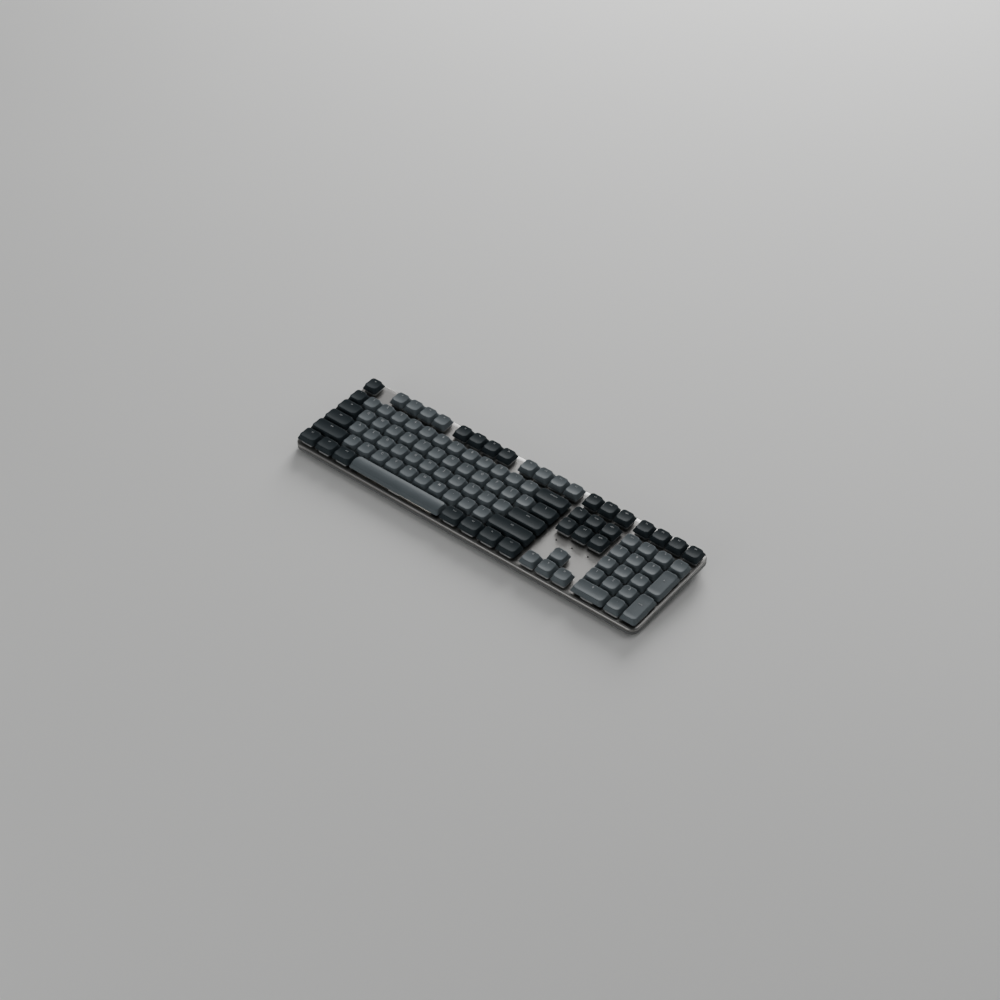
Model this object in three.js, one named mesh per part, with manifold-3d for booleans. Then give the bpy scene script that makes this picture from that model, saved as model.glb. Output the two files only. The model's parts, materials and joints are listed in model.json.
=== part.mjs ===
// A full-size, low-profile mechanical keyboard: a wedge-shaped plastic case under an aluminium top
// plate, key switches standing in the plate, floating keycaps, fold-out rear feet and a rear spine
// with the charging socket and the power switch.
//
// Two frames are used. The board frame has +Z square to the top plate and its origin at the middle
// of the plate's upper surface: everything on or in the plate is made there. The desk frame has +Z
// up from the desk: the case's belly, the pads and the fold-out feet are square to the desk. The
// board frame leans forward in the desk frame by TILT.
import * as THREE from "three";
import { mergeVertices } from "three/addons/utils/BufferGeometryUtils.js";
import Module from "manifold-3d";

const wasm = await Module();
wasm.setup();

// ---- Driving dimensions, in millimetres ----
const UNIT = 19.05; // pitch of one key
const BLOCK_UNITS = { wide: 22.5, deep: 6.25 };
const MARGIN = { side: 1.6, front: 2.8, back: 3.2 }; // plate beyond the block of keys
const PLATE = {
  wide: BLOCK_UNITS.wide * UNIT + 2 * MARGIN.side,
  deep: BLOCK_UNITS.deep * UNIT + MARGIN.front + MARGIN.back,
  corner: 9,
  thick: 1.2,
  rim: 3.2, // height of the plate's turned-down rim
  wall: 1.8,
  cutout: 14.2,
};
const TILT = THREE.MathUtils.degToRad(3);
const RISE = 13.6; // desk to the middle of the plate's upper surface
const GAP = 0.3; // between pieces that touch on the real object

const CAP = { gap: 1, high: 5.8, lift: 3.6, taper: 2, wall: 1.1, roof: 1.5, corner: 1.6 };
const CAP_WEB = { long: 2.8, wide: 3, high: 1 }; // joins the caps of a bank under their skirts

const SHEET = { low: -2.1, high: -1.5 }; // damping sheet that carries the switches
const SWITCH = { wide: 13.6, top: 3.9, taper: 1.4 };
const BOARD = { low: -3.9, high: -2.4, inset: 4.1, corner: 4 };

const CASE = {
  top: -3.6,
  bottom: -7.8,
  lip: 1.5, // thickness of the lip that stands up inside the plate's rim
  floor: 2,
  trayCorner: 3,
  bellyInset: 14,
  bellyFront: 9,
  bellyCorner: 12,
  bellyHeight: 1.5, // desk to the belly
  spine: 5.35, // how far the rear spine stands out behind the plate
  spineWide: 404,
};
const BACK = PLATE.deep / 2 + CASE.spine; // rear face of the spine, in the board frame

const PAD = { long: 34, wide: 9, thick: 1.2, x: 178, frontY: -47, rearX: 100, rearY: 52 };
const FOOT = {
  x: 155,
  y: 56, // hinge line, in the desk frame
  z: 3.8,
  wide: 40,
  long: 20,
  tip: 3.2,
  below: 2,
  above: 1.2,
  barrel: 1.9,
  bore: 1.15,
  pin: 0.8,
  pinLong: 44,
};
const POCKET = { side: 0.5, front: 0.8, back: 3.2, top: 5.9, shell: 1.6 };

const PORT = { x: 98, z: -11.5, wide: 8.9, high: 3.2, deep: 7.2, wall: 0.35 };
const SLIDER = { x: 118, z: -11.5, wide: 3.4, high: 2, travel: 3, slot: 2.6, deep: 2.4 };
const LIGHTS = { y: 2.58, pip: 0.65, hole: 1, bar: 2.4 };
const WIRE = { thick: 0.5, span: 100, y: -6.75, z: 1, leg: 7.5, rise: 3.2 };

// ---- Materials ----
const material = (color, roughness, metalness = 0) =>
  new THREE.MeshStandardMaterial({ color, roughness, metalness });
const aluminium = material("#8f908f", 0.38, 0.9);
const caseGrey = material("#55585a", 0.55);
const capGrey = material("#5c6164", 0.5);
const capDark = material("#2c3133", 0.5);
const switchPlastic = material("#a9acac", 0.35);
const solderMask = material("#16251e", 0.5);
const rubber = material("#1b1c1d", 0.9);
const steel = material("#b9bbbd", 0.25, 1);
const blackPlastic = material("#17191a", 0.5);
const batteryFoil = material("#c2c4c6", 0.35, 0.6);
const lightPipe = material("#d8dcdc", 0.2);

// ---- Solids ----
function solid(geometry) {
  const bare = geometry.clone();
  bare.deleteAttribute("normal");
  bare.deleteAttribute("uv");
  const merged = mergeVertices(bare, 1e-4);
  return new wasm.Manifold(
    new wasm.Mesh({
      numProp: 3,
      vertProperties: new Float32Array(merged.attributes.position.array),
      triVerts: new Uint32Array(merged.index.array),
    }),
  );
}

function geometryOf(manifold) {
  const { vertProperties, triVerts } = manifold.getMesh();
  const geometry = new THREE.BufferGeometry();
  geometry.setAttribute("position", new THREE.BufferAttribute(vertProperties, 3));
  geometry.setIndex(new THREE.BufferAttribute(triVerts, 1));
  return geometry;
}

// A box by its middle in x and y, and by its lowest and highest z.
function block(wide, deep, low, high, x = 0, y = 0) {
  const box = new THREE.BoxGeometry(wide, deep, high - low);
  return solid(box.translate(x, y, (low + high) / 2));
}

function roundedShape(wide, deep, radius) {
  const [x, y] = [wide / 2 - radius, deep / 2 - radius];
  const shape = new THREE.Shape();
  shape.absarc(x, y, radius, 0, Math.PI / 2);
  shape.absarc(-x, y, radius, Math.PI / 2, Math.PI);
  shape.absarc(-x, -y, radius, Math.PI, 1.5 * Math.PI);
  shape.absarc(x, -y, radius, 1.5 * Math.PI, 2 * Math.PI);
  return shape;
}

// A slab with rounded corners, whose top is drawn in by taper on every side.
function slab({ wide, deep, radius, low, high, segments = 5, taper = 0, x = 0, y = 0 }) {
  const geometry = new THREE.ExtrudeGeometry(roundedShape(wide, deep, radius), {
    depth: high - low,
    bevelEnabled: false,
    curveSegments: segments,
  });
  const points = geometry.attributes.position;
  for (let i = 0; i < points.count; i++) {
    const drawn = points.getZ(i) > 0 ? taper : 0;
    points.setX(i, points.getX(i) - Math.sign(points.getX(i)) * drawn);
    points.setY(i, points.getY(i) - Math.sign(points.getY(i)) * drawn);
  }
  return solid(geometry.translate(x, y, low));
}

// A round bar along z, or along x when lying is true.
function bar(radius, long, sides, at, lying = false) {
  const cylinder = new THREE.CylinderGeometry(radius, radius, long, sides);
  if (lying) cylinder.rotateZ(Math.PI / 2);
  else cylinder.rotateX(Math.PI / 2);
  return solid(cylinder.translate(...at));
}

// Moves a solid made in the desk frame into the board frame.
const toBoard = new THREE.Matrix4()
  .makeTranslation(0, 0, RISE)
  .multiply(new THREE.Matrix4().makeRotationX(TILT))
  .invert();
const fromDesk = (manifold) => solid(geometryOf(manifold).applyMatrix4(toBoard).toNonIndexed());

const join = (pieces) => pieces.reduce((whole, piece) => whole.add(piece));
const cut = (whole, pieces) => pieces.reduce((left, piece) => left.subtract(piece), whole);

// ---- The keys: each bank is a row of caps that one body carries ----
// row and column are the middle of the row and the left edge of the first key, in key units.
const ones = (count) => Array(count).fill(1);
const BANKS = [
  { name: "esc_keycap", row: 5.75, column: 0, widths: [1], dark: true },
  { name: "f1_to_f4_keycaps", row: 5.75, column: 2, widths: ones(4) },
  { name: "f5_to_f8_keycaps", row: 5.75, column: 6.5, widths: ones(4), dark: true },
  { name: "f9_to_f12_keycaps", row: 5.75, column: 11, widths: ones(4) },
  { name: "system_keycaps", row: 5.75, column: 15.25, widths: ones(3), dark: true },
  { name: "media_keycaps", row: 5.75, column: 18.5, widths: ones(4), dark: true },
  { name: "grave_keycap", row: 4.5, column: 0, widths: [1], dark: true },
  { name: "number_row_keycaps", row: 4.5, column: 1, widths: ones(12) },
  { name: "backspace_keycap", row: 4.5, column: 13, widths: [2], dark: true },
  { name: "tab_keycap", row: 3.5, column: 0, widths: [1.5], dark: true },
  { name: "q_row_keycaps", row: 3.5, column: 1.5, widths: ones(12) },
  { name: "backslash_keycap", row: 3.5, column: 13.5, widths: [1.5], dark: true },
  { name: "caps_lock_keycap", row: 2.5, column: 0, widths: [1.75], dark: true },
  { name: "a_row_keycaps", row: 2.5, column: 1.75, widths: ones(11) },
  { name: "enter_keycap", row: 2.5, column: 12.75, widths: [2.25], dark: true },
  { name: "left_shift_keycap", row: 1.5, column: 0, widths: [2.25], dark: true },
  { name: "z_row_keycaps", row: 1.5, column: 2.25, widths: ones(10) },
  { name: "right_shift_keycap", row: 1.5, column: 12.25, widths: [2.75], dark: true },
  { name: "left_ctrl_keycap", row: 0.5, column: 0, widths: [1.25], dark: true },
  { name: "left_option_keycap", row: 0.5, column: 1.25, widths: [1.25], dark: true },
  { name: "left_command_keycap", row: 0.5, column: 2.5, widths: [1.25], dark: true },
  { name: "space_bar_keycap", row: 0.5, column: 3.75, widths: [6.25] },
  { name: "right_command_keycap", row: 0.5, column: 10, widths: [1.25], dark: true },
  { name: "right_option_keycap", row: 0.5, column: 11.25, widths: [1.25], dark: true },
  { name: "fn_keycap", row: 0.5, column: 12.5, widths: [1.25], dark: true },
  { name: "right_ctrl_keycap", row: 0.5, column: 13.75, widths: [1.25], dark: true },
  { name: "page_block_keycaps", row: 4.5, column: 15.25, widths: ones(3), rows: 2, dark: true },
  { name: "up_arrow_keycap", row: 1.5, column: 16.25, widths: [1] },
  { name: "left_arrow_keycap", row: 0.5, column: 15.25, widths: [1] },
  { name: "down_arrow_keycap", row: 0.5, column: 16.25, widths: [1] },
  { name: "right_arrow_keycap", row: 0.5, column: 17.25, widths: [1] },
  { name: "numpad_top_keycaps", row: 4.5, column: 18.5, widths: ones(4) },
  { name: "numpad_7_to_9_keycaps", row: 3.5, column: 18.5, widths: ones(3) },
  { name: "numpad_4_to_6_keycaps", row: 2.5, column: 18.5, widths: ones(3) },
  { name: "numpad_1_to_3_keycaps", row: 1.5, column: 18.5, widths: ones(3) },
  { name: "numpad_zero_keycap", row: 0.5, column: 18.5, widths: [2] },
  { name: "numpad_point_keycap", row: 0.5, column: 20.5, widths: [1] },
  { name: "numpad_plus_keycap", row: 3, column: 21.5, widths: [1], tall: 2 },
  { name: "numpad_enter_keycap", row: 1, column: 21.5, widths: [1], tall: 2 },
];

const boardX = (units) => (units - BLOCK_UNITS.wide / 2) * UNIT;
const boardY = (units) => units * UNIT + MARGIN.front - PLATE.deep / 2;

// Every key of a bank, with its middle in the board frame and its size in key units.
function keysOf({ row, column, widths, rows = 1, tall = 1 }) {
  const keys = [];
  for (let line = 0; line < rows; line++) {
    let edge = column;
    for (const wide of widths) {
      keys.push({ x: boardX(edge + wide / 2), y: boardY(row - line), wide, tall });
      edge += wide;
    }
  }
  return keys;
}
const KEYS = BANKS.flatMap(keysOf);

// A cap is a tapered shell, open below so that it can close over its switch.
function keycap({ x, y, wide, tall }) {
  const [across, along] = [wide * UNIT - CAP.gap, tall * UNIT - CAP.gap];
  const outside = slab({
    wide: across,
    deep: along,
    radius: CAP.corner,
    low: CAP.lift,
    high: CAP.lift + CAP.high,
    segments: 1,
    taper: CAP.taper,
    x,
    y,
  });
  const inside = new THREE.BoxGeometry(
    across - 2 * CAP.wall,
    along - 2 * CAP.wall,
    CAP.high - CAP.roof + 1,
  );
  const points = inside.attributes.position;
  const drawn = (CAP.taper * (CAP.high - CAP.roof)) / CAP.high;
  for (let i = 0; i < points.count; i++) {
    if (points.getZ(i) < 0) continue;
    points.setX(i, points.getX(i) - Math.sign(points.getX(i)) * drawn);
    points.setY(i, points.getY(i) - Math.sign(points.getY(i)) * drawn);
  }
  inside.translate(x, y, CAP.lift + (CAP.high - CAP.roof - 1) / 2);
  return outside.subtract(solid(inside));
}

function keycapBank(bank) {
  const keys = keysOf(bank);
  const webs = [];
  const [low, high] = [CAP.lift, CAP.lift + CAP_WEB.high];
  keys.slice(1).forEach((key, index) => {
    const before = keys[index];
    if (key.y === before.y) {
      webs.push(block(CAP_WEB.long, CAP_WEB.wide, low, high, (key.x + before.x) / 2, key.y));
    } else {
      webs.push(block(CAP_WEB.wide, CAP_WEB.long, low, high, key.x, (key.y + before.y) / 2));
    }
  });
  return join([...keys.map(keycap), ...webs]);
}

// ---- The plate, the switches and the circuit board ----
const lightsX = [15.75, 16.75, 17.75].map(boardX);
const lightsY = boardY(LIGHTS.y);

function topPlate() {
  const chamfer = 0.8;
  const { wide, deep, corner } = PLATE;
  const body = slab({ wide, deep, radius: corner, low: -PLATE.rim, high: -chamfer });
  const edge = slab({ wide, deep, radius: corner, low: -chamfer, high: 0, taper: chamfer });
  const pocket = slab({
    wide: wide - 2 * PLATE.wall,
    deep: deep - 2 * PLATE.wall,
    radius: corner - PLATE.wall,
    low: -PLATE.rim - 1,
    high: -PLATE.thick,
  });
  const holes = KEYS.map(({ x, y }) => block(PLATE.cutout, PLATE.cutout, -2, 1, x, y));
  const windows = lightsX.map((x) => bar(LIGHTS.hole, 4, 8, [x, lightsY, 0]));
  return cut(body.add(edge), [pocket, join([...holes, ...windows])]);
}

// A board or sheet that fills the case inside its lip.
function insideRim({ low, high }) {
  const { inset, corner } = BOARD;
  const [wide, deep] = [PLATE.wide - 2 * inset, PLATE.deep - 2 * inset];
  return slab({ wide, deep, radius: corner, low, high, segments: 2 });
}

// The switches stand on the damping sheet that lies between the plate and the circuit board.
function switchHousings() {
  const sheet = insideRim(SHEET);
  const window = block(2 * UNIT + 6, LIGHTS.bar + 1, -3, 0, lightsX[1], lightsY);
  const bodies = KEYS.map(({ x, y }) => {
    const box = new THREE.BoxGeometry(SWITCH.wide, SWITCH.wide, SWITCH.top - SHEET.low);
    const points = box.attributes.position;
    for (let i = 0; i < points.count; i++) {
      const drawn = points.getZ(i) > 0 ? SWITCH.taper : 0;
      points.setX(i, points.getX(i) - Math.sign(points.getX(i)) * drawn);
      points.setY(i, points.getY(i) - Math.sign(points.getY(i)) * drawn);
    }
    return solid(box.translate(x, y, (SWITCH.top + SHEET.low) / 2));
  });
  return join([sheet.subtract(window), ...bodies]);
}

function statusLightGuide() {
  const low = SHEET.low + 0.05;
  const run = block(2 * UNIT + 3, LIGHTS.bar, low, SHEET.high, lightsX[1], lightsY);
  const pips = lightsX.map((x) => {
    const high = -0.1;
    return bar(LIGHTS.pip, high - low, 8, [x, lightsY, (low + high) / 2]);
  });
  return join([run, ...pips]);
}

// The wire that keeps the space bar level: a long run that turns in the plate, and a leg at each
// end that reaches up to the cap. It is made about its own turning axis.
function stabiliserWire() {
  const lean = Math.asin(WIRE.rise / WIRE.leg);
  const run = bar(WIRE.thick, WIRE.span, 8, [0, 0, 0], true);
  const legs = [-1, 1].map((side) => {
    const leg = new THREE.CylinderGeometry(WIRE.thick, WIRE.thick, WIRE.leg, 8);
    leg.translate(0, WIRE.leg / 2, 0);
    leg.rotateX(lean);
    return solid(leg.translate(side * (WIRE.span / 2 - WIRE.thick), 0, 0));
  });
  return join([run, ...legs]);
}

// ---- The case ----
const bellyPlane = CASE.bellyHeight;
const bellyDeep = BACK + PLATE.deep / 2 - CASE.bellyFront;
const bellyMiddle = (BACK - PLATE.deep / 2 + CASE.bellyFront) / 2;

// Everything of the board frame that is nearer the desk than height.
function belowDesk(height) {
  return fromDesk(block(600, 400, height - 60, height));
}

// The rounded spine behind the plate, from its side profile.
function spine(inset = 0) {
  const y = PLATE.deep / 2;
  const radius = CASE.spine - inset;
  const top = CASE.bottom - 2.1;
  const profile = new THREE.Shape();
  profile.moveTo(y - 8, top - 12);
  profile.lineTo(y + radius, top - 12);
  profile.absarc(y, top, radius, 0, Math.PI / 2);
  profile.lineTo(y - 8, top + radius);
  const geometry = new THREE.ExtrudeGeometry(profile, {
    depth: CASE.spineWide - 2 * inset,
    bevelEnabled: false,
    curveSegments: 6,
  });
  geometry.rotateY(Math.PI / 2).rotateX(Math.PI / 2);
  return solid(geometry.translate(inset - CASE.spineWide / 2, 0, 0));
}

function belly(inset, low, high) {
  return slab({
    wide: PLATE.wide - 2 * (CASE.bellyInset + inset),
    deep: bellyDeep - 2 * inset,
    radius: CASE.bellyCorner - inset,
    low,
    high,
    y: bellyMiddle,
  });
}

const bossPlaces = [
  [-185, -35],
  [-60, -35],
  [60, -35],
  [185, -35],
  [-20, 30],
  [110, 30],
];

function footPocket(x, grown = 0) {
  const front = FOOT.y - FOOT.long - POCKET.front - grown;
  const back = FOOT.y + POCKET.back + grown;
  const wide = FOOT.wide + 2 * (POCKET.side + grown);
  const low = grown ? bellyPlane : bellyPlane - 1;
  return block(wide, back - front, low, POCKET.top + grown, x, (front + back) / 2);
}

function bottomCase() {
  const { wide, deep, corner, wall } = PLATE;
  const rim = slab({ wide, deep, radius: corner, low: CASE.bottom, high: CASE.top });
  const lipInset = wall + GAP;
  const lip = slab({
    wide: wide - 2 * lipInset,
    deep: deep - 2 * lipInset,
    radius: corner - lipInset,
    low: CASE.top - 1,
    high: -PLATE.thick - GAP,
  });
  const innerInset = lipInset + CASE.lip;
  const tray = slab({
    wide: wide - 2 * innerInset,
    deep: deep - 2 * innerInset,
    radius: CASE.trayCorner,
    low: CASE.bottom + CASE.floor,
    high: 1,
  });
  const shell = cut(join([rim, lip, belly(0, -40, CASE.bottom + 0.5), spine()]), [
    belowDesk(bellyPlane),
  ]);
  const hollow = cut(join([belly(CASE.floor, -40, CASE.bottom + 3)]), [
    belowDesk(bellyPlane + CASE.floor),
  ]).intersect(join([tray, spine(CASE.floor), block(600, 116, -40, -3)]));
  const pockets = [-1, 1].map((side) => fromDesk(footPocket(side * FOOT.x)));
  const pocketShells = [-1, 1].map((side) => fromDesk(footPocket(side * FOOT.x, POCKET.shell)));
  const pinHoles = [-1, 1].map((side) =>
    fromDesk(bar(FOOT.bore, FOOT.pinLong + 1, 8, [side * FOOT.x, FOOT.y, FOOT.z], true)),
  );
  const bosses = bossPlaces.map(([x, y]) => bar(3, 12, 10, [x, y, BOARD.low - GAP - 6]));
  const screwHoles = bossPlaces.map(([x, y]) => bar(1.3, 30, 8, [x, y, -15]));
  const headHoles = bossPlaces.map(([x, y]) => {
    const floor = (bellyPlane - RISE) / Math.cos(TILT) - y * Math.tan(TILT);
    return bar(2.8, 4, 10, [x, y, floor - 0.6]);
  });
  const raised = cut(join([...bosses, ...pocketShells]), [belowDesk(bellyPlane)]);
  const socketHole = block(PORT.wide + 0.8, 8, PORT.z - 2, PORT.z + 2, PORT.x, BACK);
  const sliderHole = block(
    SLIDER.wide + SLIDER.travel + 0.8,
    8,
    SLIDER.z - SLIDER.slot / 2,
    SLIDER.z + SLIDER.slot / 2,
    SLIDER.x,
    BACK,
  );
  return cut(cut(shell, [tray, hollow]).add(raised), [
    ...pockets,
    ...pinHoles,
    ...screwHoles,
    ...headHoles,
    socketHole,
    sliderHole,
  ]);
}

// ---- Small pieces in the case ----
function usbSocket() {
  const y = BACK - GAP - PORT.deep / 2;
  const tube = block(PORT.wide, PORT.deep, PORT.z - 1.6, PORT.z + 1.6, PORT.x, y);
  const mouth = block(
    PORT.wide - 2 * PORT.wall,
    PORT.deep,
    PORT.z - 1.6 + PORT.wall,
    PORT.z + 1.6 - PORT.wall,
    PORT.x,
    y + 1,
  );
  const tongue = block(PORT.wide - 2.4, PORT.deep - 1.5, PORT.z - 0.35, PORT.z + 0.35, PORT.x, y - 0.75);
  return join([cut(tube, [mouth]), tongue]);
}

function powerSwitchBody() {
  const front = BACK - 3.2 - SLIDER.deep;
  return block(9.4, 3.4, SLIDER.z - 1.5, SLIDER.z + 1.5, SLIDER.x, front - 1.7);
}

// The slider stands at the off end of its slot.
function powerSlider() {
  const x = SLIDER.x - SLIDER.travel / 2;
  const inner = BACK - 2 - SLIDER.deep - 0.9;
  const outer = BACK - 0.15;
  const stem = block(
    SLIDER.wide,
    outer - inner,
    SLIDER.z - SLIDER.high / 2,
    SLIDER.z + SLIDER.high / 2,
    x,
    (inner + outer) / 2,
  );
  const grooves = [-1, 0, 1].map((n) =>
    block(0.5, 0.8, SLIDER.z - 2, SLIDER.z + 2, x + n, outer + 0.1),
  );
  return cut(stem, grooves);
}

// ---- Feet and pads, in the desk frame ----
function rubberPad(x, y) {
  const { long, wide, thick } = PAD;
  return slab({ wide: long, deep: wide, radius: 4, low: 0, high: thick, segments: 3, x, y });
}

// The leg is made about its hinge line, folded flat, with its free end towards the front.
function footLeg() {
  const long = FOOT.long - FOOT.tip - GAP;
  const leg = block(FOOT.wide - 2, long, -FOOT.below, FOOT.above, 0, -long / 2);
  const barrel = bar(FOOT.barrel, FOOT.wide, 12, [0, 0, 0], true);
  const hollow = block(FOOT.wide - 12, long - 8, -FOOT.below - 1, 0, 0, -long / 2 - 1.5);
  const bore = bar(FOOT.bore, FOOT.wide + 2, 8, [0, 0, 0], true);
  return cut(join([leg, barrel]), [hollow, bore]);
}

function footTip() {
  const y = -FOOT.long + FOOT.tip / 2;
  return block(FOOT.wide - 2, FOOT.tip, -FOOT.below, FOOT.above, 0, y);
}

// ---- Assembly ----
function part(name, manifold, finish, place = [0, 0, 0]) {
  const mesh = new THREE.Mesh(geometryOf(manifold), finish);
  mesh.name = name;
  mesh.position.set(...place);
  return mesh;
}

const board = new THREE.Group();
board.rotation.x = TILT;
board.position.z = RISE;
board.add(part("top_plate", topPlate(), aluminium));
board.add(part("bottom_case", bottomCase(), caseGrey));
board.add(part("switch_housings", switchHousings(), switchPlastic));
board.add(part("circuit_board", insideRim(BOARD), solderMask));
board.add(part("status_light_guide", statusLightGuide(), lightPipe));
board.add(part("battery_pack", block(92, 36, -9.8, -5.2, -85, 22), batteryFoil));
board.add(part("radio_module", block(20, 15, -5.8, -4.2, 60, 35), steel));
board.add(part("usb_c_socket", usbSocket(), steel));
board.add(part("power_switch_body", powerSwitchBody(), blackPlastic));
board.add(part("power_slider", powerSlider(), blackPlastic));

const spaceBar = keysOf(BANKS.find((bank) => bank.name === "space_bar_keycap"))[0];
const wirePlace = [spaceBar.x, spaceBar.y + WIRE.y, WIRE.z];
board.add(part("space_bar_stabiliser_wire", stabiliserWire(), steel, wirePlace));

for (const bank of BANKS) {
  board.add(part(bank.name, keycapBank(bank), bank.dark ? capDark : capGrey));
}

const desk = new THREE.Group();
for (const [word, side] of [
  ["left", -1],
  ["right", 1],
]) {
  desk.add(part(`front_${word}_pad`, rubberPad(side * PAD.x, PAD.frontY), rubber));
  desk.add(part(`rear_${word}_pad`, rubberPad(side * PAD.rearX, PAD.rearY), rubber));
  const hinge = [side * FOOT.x, FOOT.y, FOOT.z];
  desk.add(part(`${word}_tilt_foot`, footLeg(), caseGrey, hinge));
  desk.add(part(`${word}_foot_tip`, footTip(), rubber, hinge));
  const pin = bar(FOOT.pin, FOOT.pinLong, 8, [0, 0, 0], true);
  desk.add(part(`${word}_foot_pin`, pin, steel, hinge));
}

// The origin is the middle of the footprint, on the desk.
const keyboard = new THREE.Group();
keyboard.add(board, desk);
const reach = new THREE.Box3().setFromObject(keyboard, true);
board.position.y = desk.position.y = -(reach.min.y + reach.max.y) / 2;

export default keyboard;
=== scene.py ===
"""Low-profile mechanical keyboard: moulded keycaps, switches and a metal top plate.

Two frames are used. The desk frame has +Z up and its origin under the middle of the keyboard. The
board frame is square to the top plate. Its origin is the middle of the plate's upper surface, and
it leans forward in the desk frame by the wedge's angle. Lengths in the helpers are in
millimetres, and a finished mesh is in metres, in the desk frame.
"""

import json
import math

import bmesh
import bpy
from mathutils import Matrix, Vector


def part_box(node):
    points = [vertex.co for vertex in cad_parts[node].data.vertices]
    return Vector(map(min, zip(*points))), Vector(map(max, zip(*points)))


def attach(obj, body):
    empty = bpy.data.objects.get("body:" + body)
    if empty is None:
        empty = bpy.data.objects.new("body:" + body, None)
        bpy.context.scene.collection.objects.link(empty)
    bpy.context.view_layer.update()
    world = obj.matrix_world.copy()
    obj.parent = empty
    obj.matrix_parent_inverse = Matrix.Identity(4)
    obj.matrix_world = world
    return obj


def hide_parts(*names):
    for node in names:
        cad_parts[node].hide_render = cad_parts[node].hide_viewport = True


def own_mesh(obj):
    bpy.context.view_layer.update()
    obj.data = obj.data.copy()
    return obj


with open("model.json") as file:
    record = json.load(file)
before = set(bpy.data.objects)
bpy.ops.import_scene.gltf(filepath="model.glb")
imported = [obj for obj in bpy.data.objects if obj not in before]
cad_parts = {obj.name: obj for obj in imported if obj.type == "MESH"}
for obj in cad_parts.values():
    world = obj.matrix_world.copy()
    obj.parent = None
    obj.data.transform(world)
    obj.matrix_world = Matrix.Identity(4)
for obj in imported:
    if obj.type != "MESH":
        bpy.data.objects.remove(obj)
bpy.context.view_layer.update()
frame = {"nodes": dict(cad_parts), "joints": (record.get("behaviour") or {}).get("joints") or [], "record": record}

bl_info = {
    "name": "Low-Profile Keyboard",
    "version": (1, 0, 0),
    "blender": (4, 5, 0),
    "location": "View3D > Sidebar > Keyboard",
    "description": "Builds a full-size low-profile mechanical keyboard, piece by piece",
    "category": "Add Mesh",
}

MM = 0.001

# ---- Sizes, in millimetres unless a comment says otherwise ----
UNIT = 19.05  # pitch of one key
BLOCK_WIDE, BLOCK_DEEP = 22.5, 6.25  # the block of keys, in key units
MARGIN_FRONT = 2.8
PLATE_THICK = 1.2
PLATE_WALL = 1.8
PLATE_RIM = 3.2
PLATE_CHAMFER = 0.8
PLATE_CORNER = 9
CAP_LIFT = 3.6  # plate to the skirt of a keycap
CAP_HIGH = 5.8
CASE_TOP = -3.6
CASE_BOTTOM = -7.8
CASE_FLOOR = 2
BELLY_INSET = 14
BELLY_FRONT = 9
BELLY_CORNER = 12
SPINE_WIDE = 404
SPINE_DEEP = 5.35
SPINE_DROP = 2.1  # under the case's edge, to the centre of the spine's round
SHEET_LOW, SHEET_HIGH = -2.1, -1.5
BOARD_LOW, BOARD_HIGH = -3.9, -2.4
BOARD_INSET = 4.1
BOARD_CORNER = 4
CUTOUT = 14.2
HOUSING_FOOT = -2.25
TOWER_TOP = 3.85
TRAVEL = 3.2
BORE = (7.4, 6.2)  # the hole for a switch's stem
BORE_CORNER = 0.45
SPRING_FLOOR = -2.06
LIGHTS_Y = 2.58  # the status lights, in key units
LIGHTS_X = (15.75, 16.75, 17.75)
PORT_X, SWITCH_X, REAR_Z = 98, 118, -11.5
SCREWS = [(-185, -35), (-60, -35), (60, -35), (185, -35), (-20, 30), (110, 30)]
CLIP_REACH = 12  # middle of a wide key to its stabiliser clips
SPACE_CLIP_REACH = 49.5
WIRE_RADIUS = 0.5
# The end of an arm this long falls by TRAVEL as the space bar's wire turns level.
WIRE_ARM = 7.5
SPRING_WIRE_RADIUS = 0.16
FLOOR_REACH = 1700  # middle of the floor to its edge

JOINTS = {joint["name"]: joint for joint in frame["joints"]}


def size_of(node):
    """The two corners of a CAD node, in millimetres."""
    low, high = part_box(node)
    return low / MM, high / MM


def board_frame():
    """The board frame's matrix in millimetres, and the plate's width and depth."""
    low, high = size_of("top_plate")
    tilt = math.asin(JOINTS["space_bar_key_press"]["axis"][1])
    wide = high.x - low.x
    # The foremost point is the foot of the front chamfer, the rearmost the rear rim's lower edge.
    reach = high.y - low.y - (PLATE_RIM - PLATE_CHAMFER) * math.sin(tilt)
    deep = reach / math.cos(tilt)
    origin_y = low.y + deep / 2 * math.cos(tilt) - PLATE_CHAMFER * math.sin(tilt)
    origin_z = low.z + deep / 2 * math.sin(tilt) + PLATE_RIM * math.cos(tilt)
    matrix = Matrix.Translation((0, origin_y, origin_z)) @ Matrix.Rotation(tilt, 4, "X")
    return matrix, wide, deep


BOARD, PLATE_WIDE, PLATE_DEEP = board_frame()
BACK = PLATE_DEEP / 2 + SPINE_DEEP  # the spine's rear face, in the board frame
BELLY = size_of("bottom_case")[0].z


def board_x(units):
    return (units - BLOCK_WIDE / 2) * UNIT


def board_y(units):
    return units * UNIT + MARGIN_FRONT - PLATE_DEEP / 2


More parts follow.
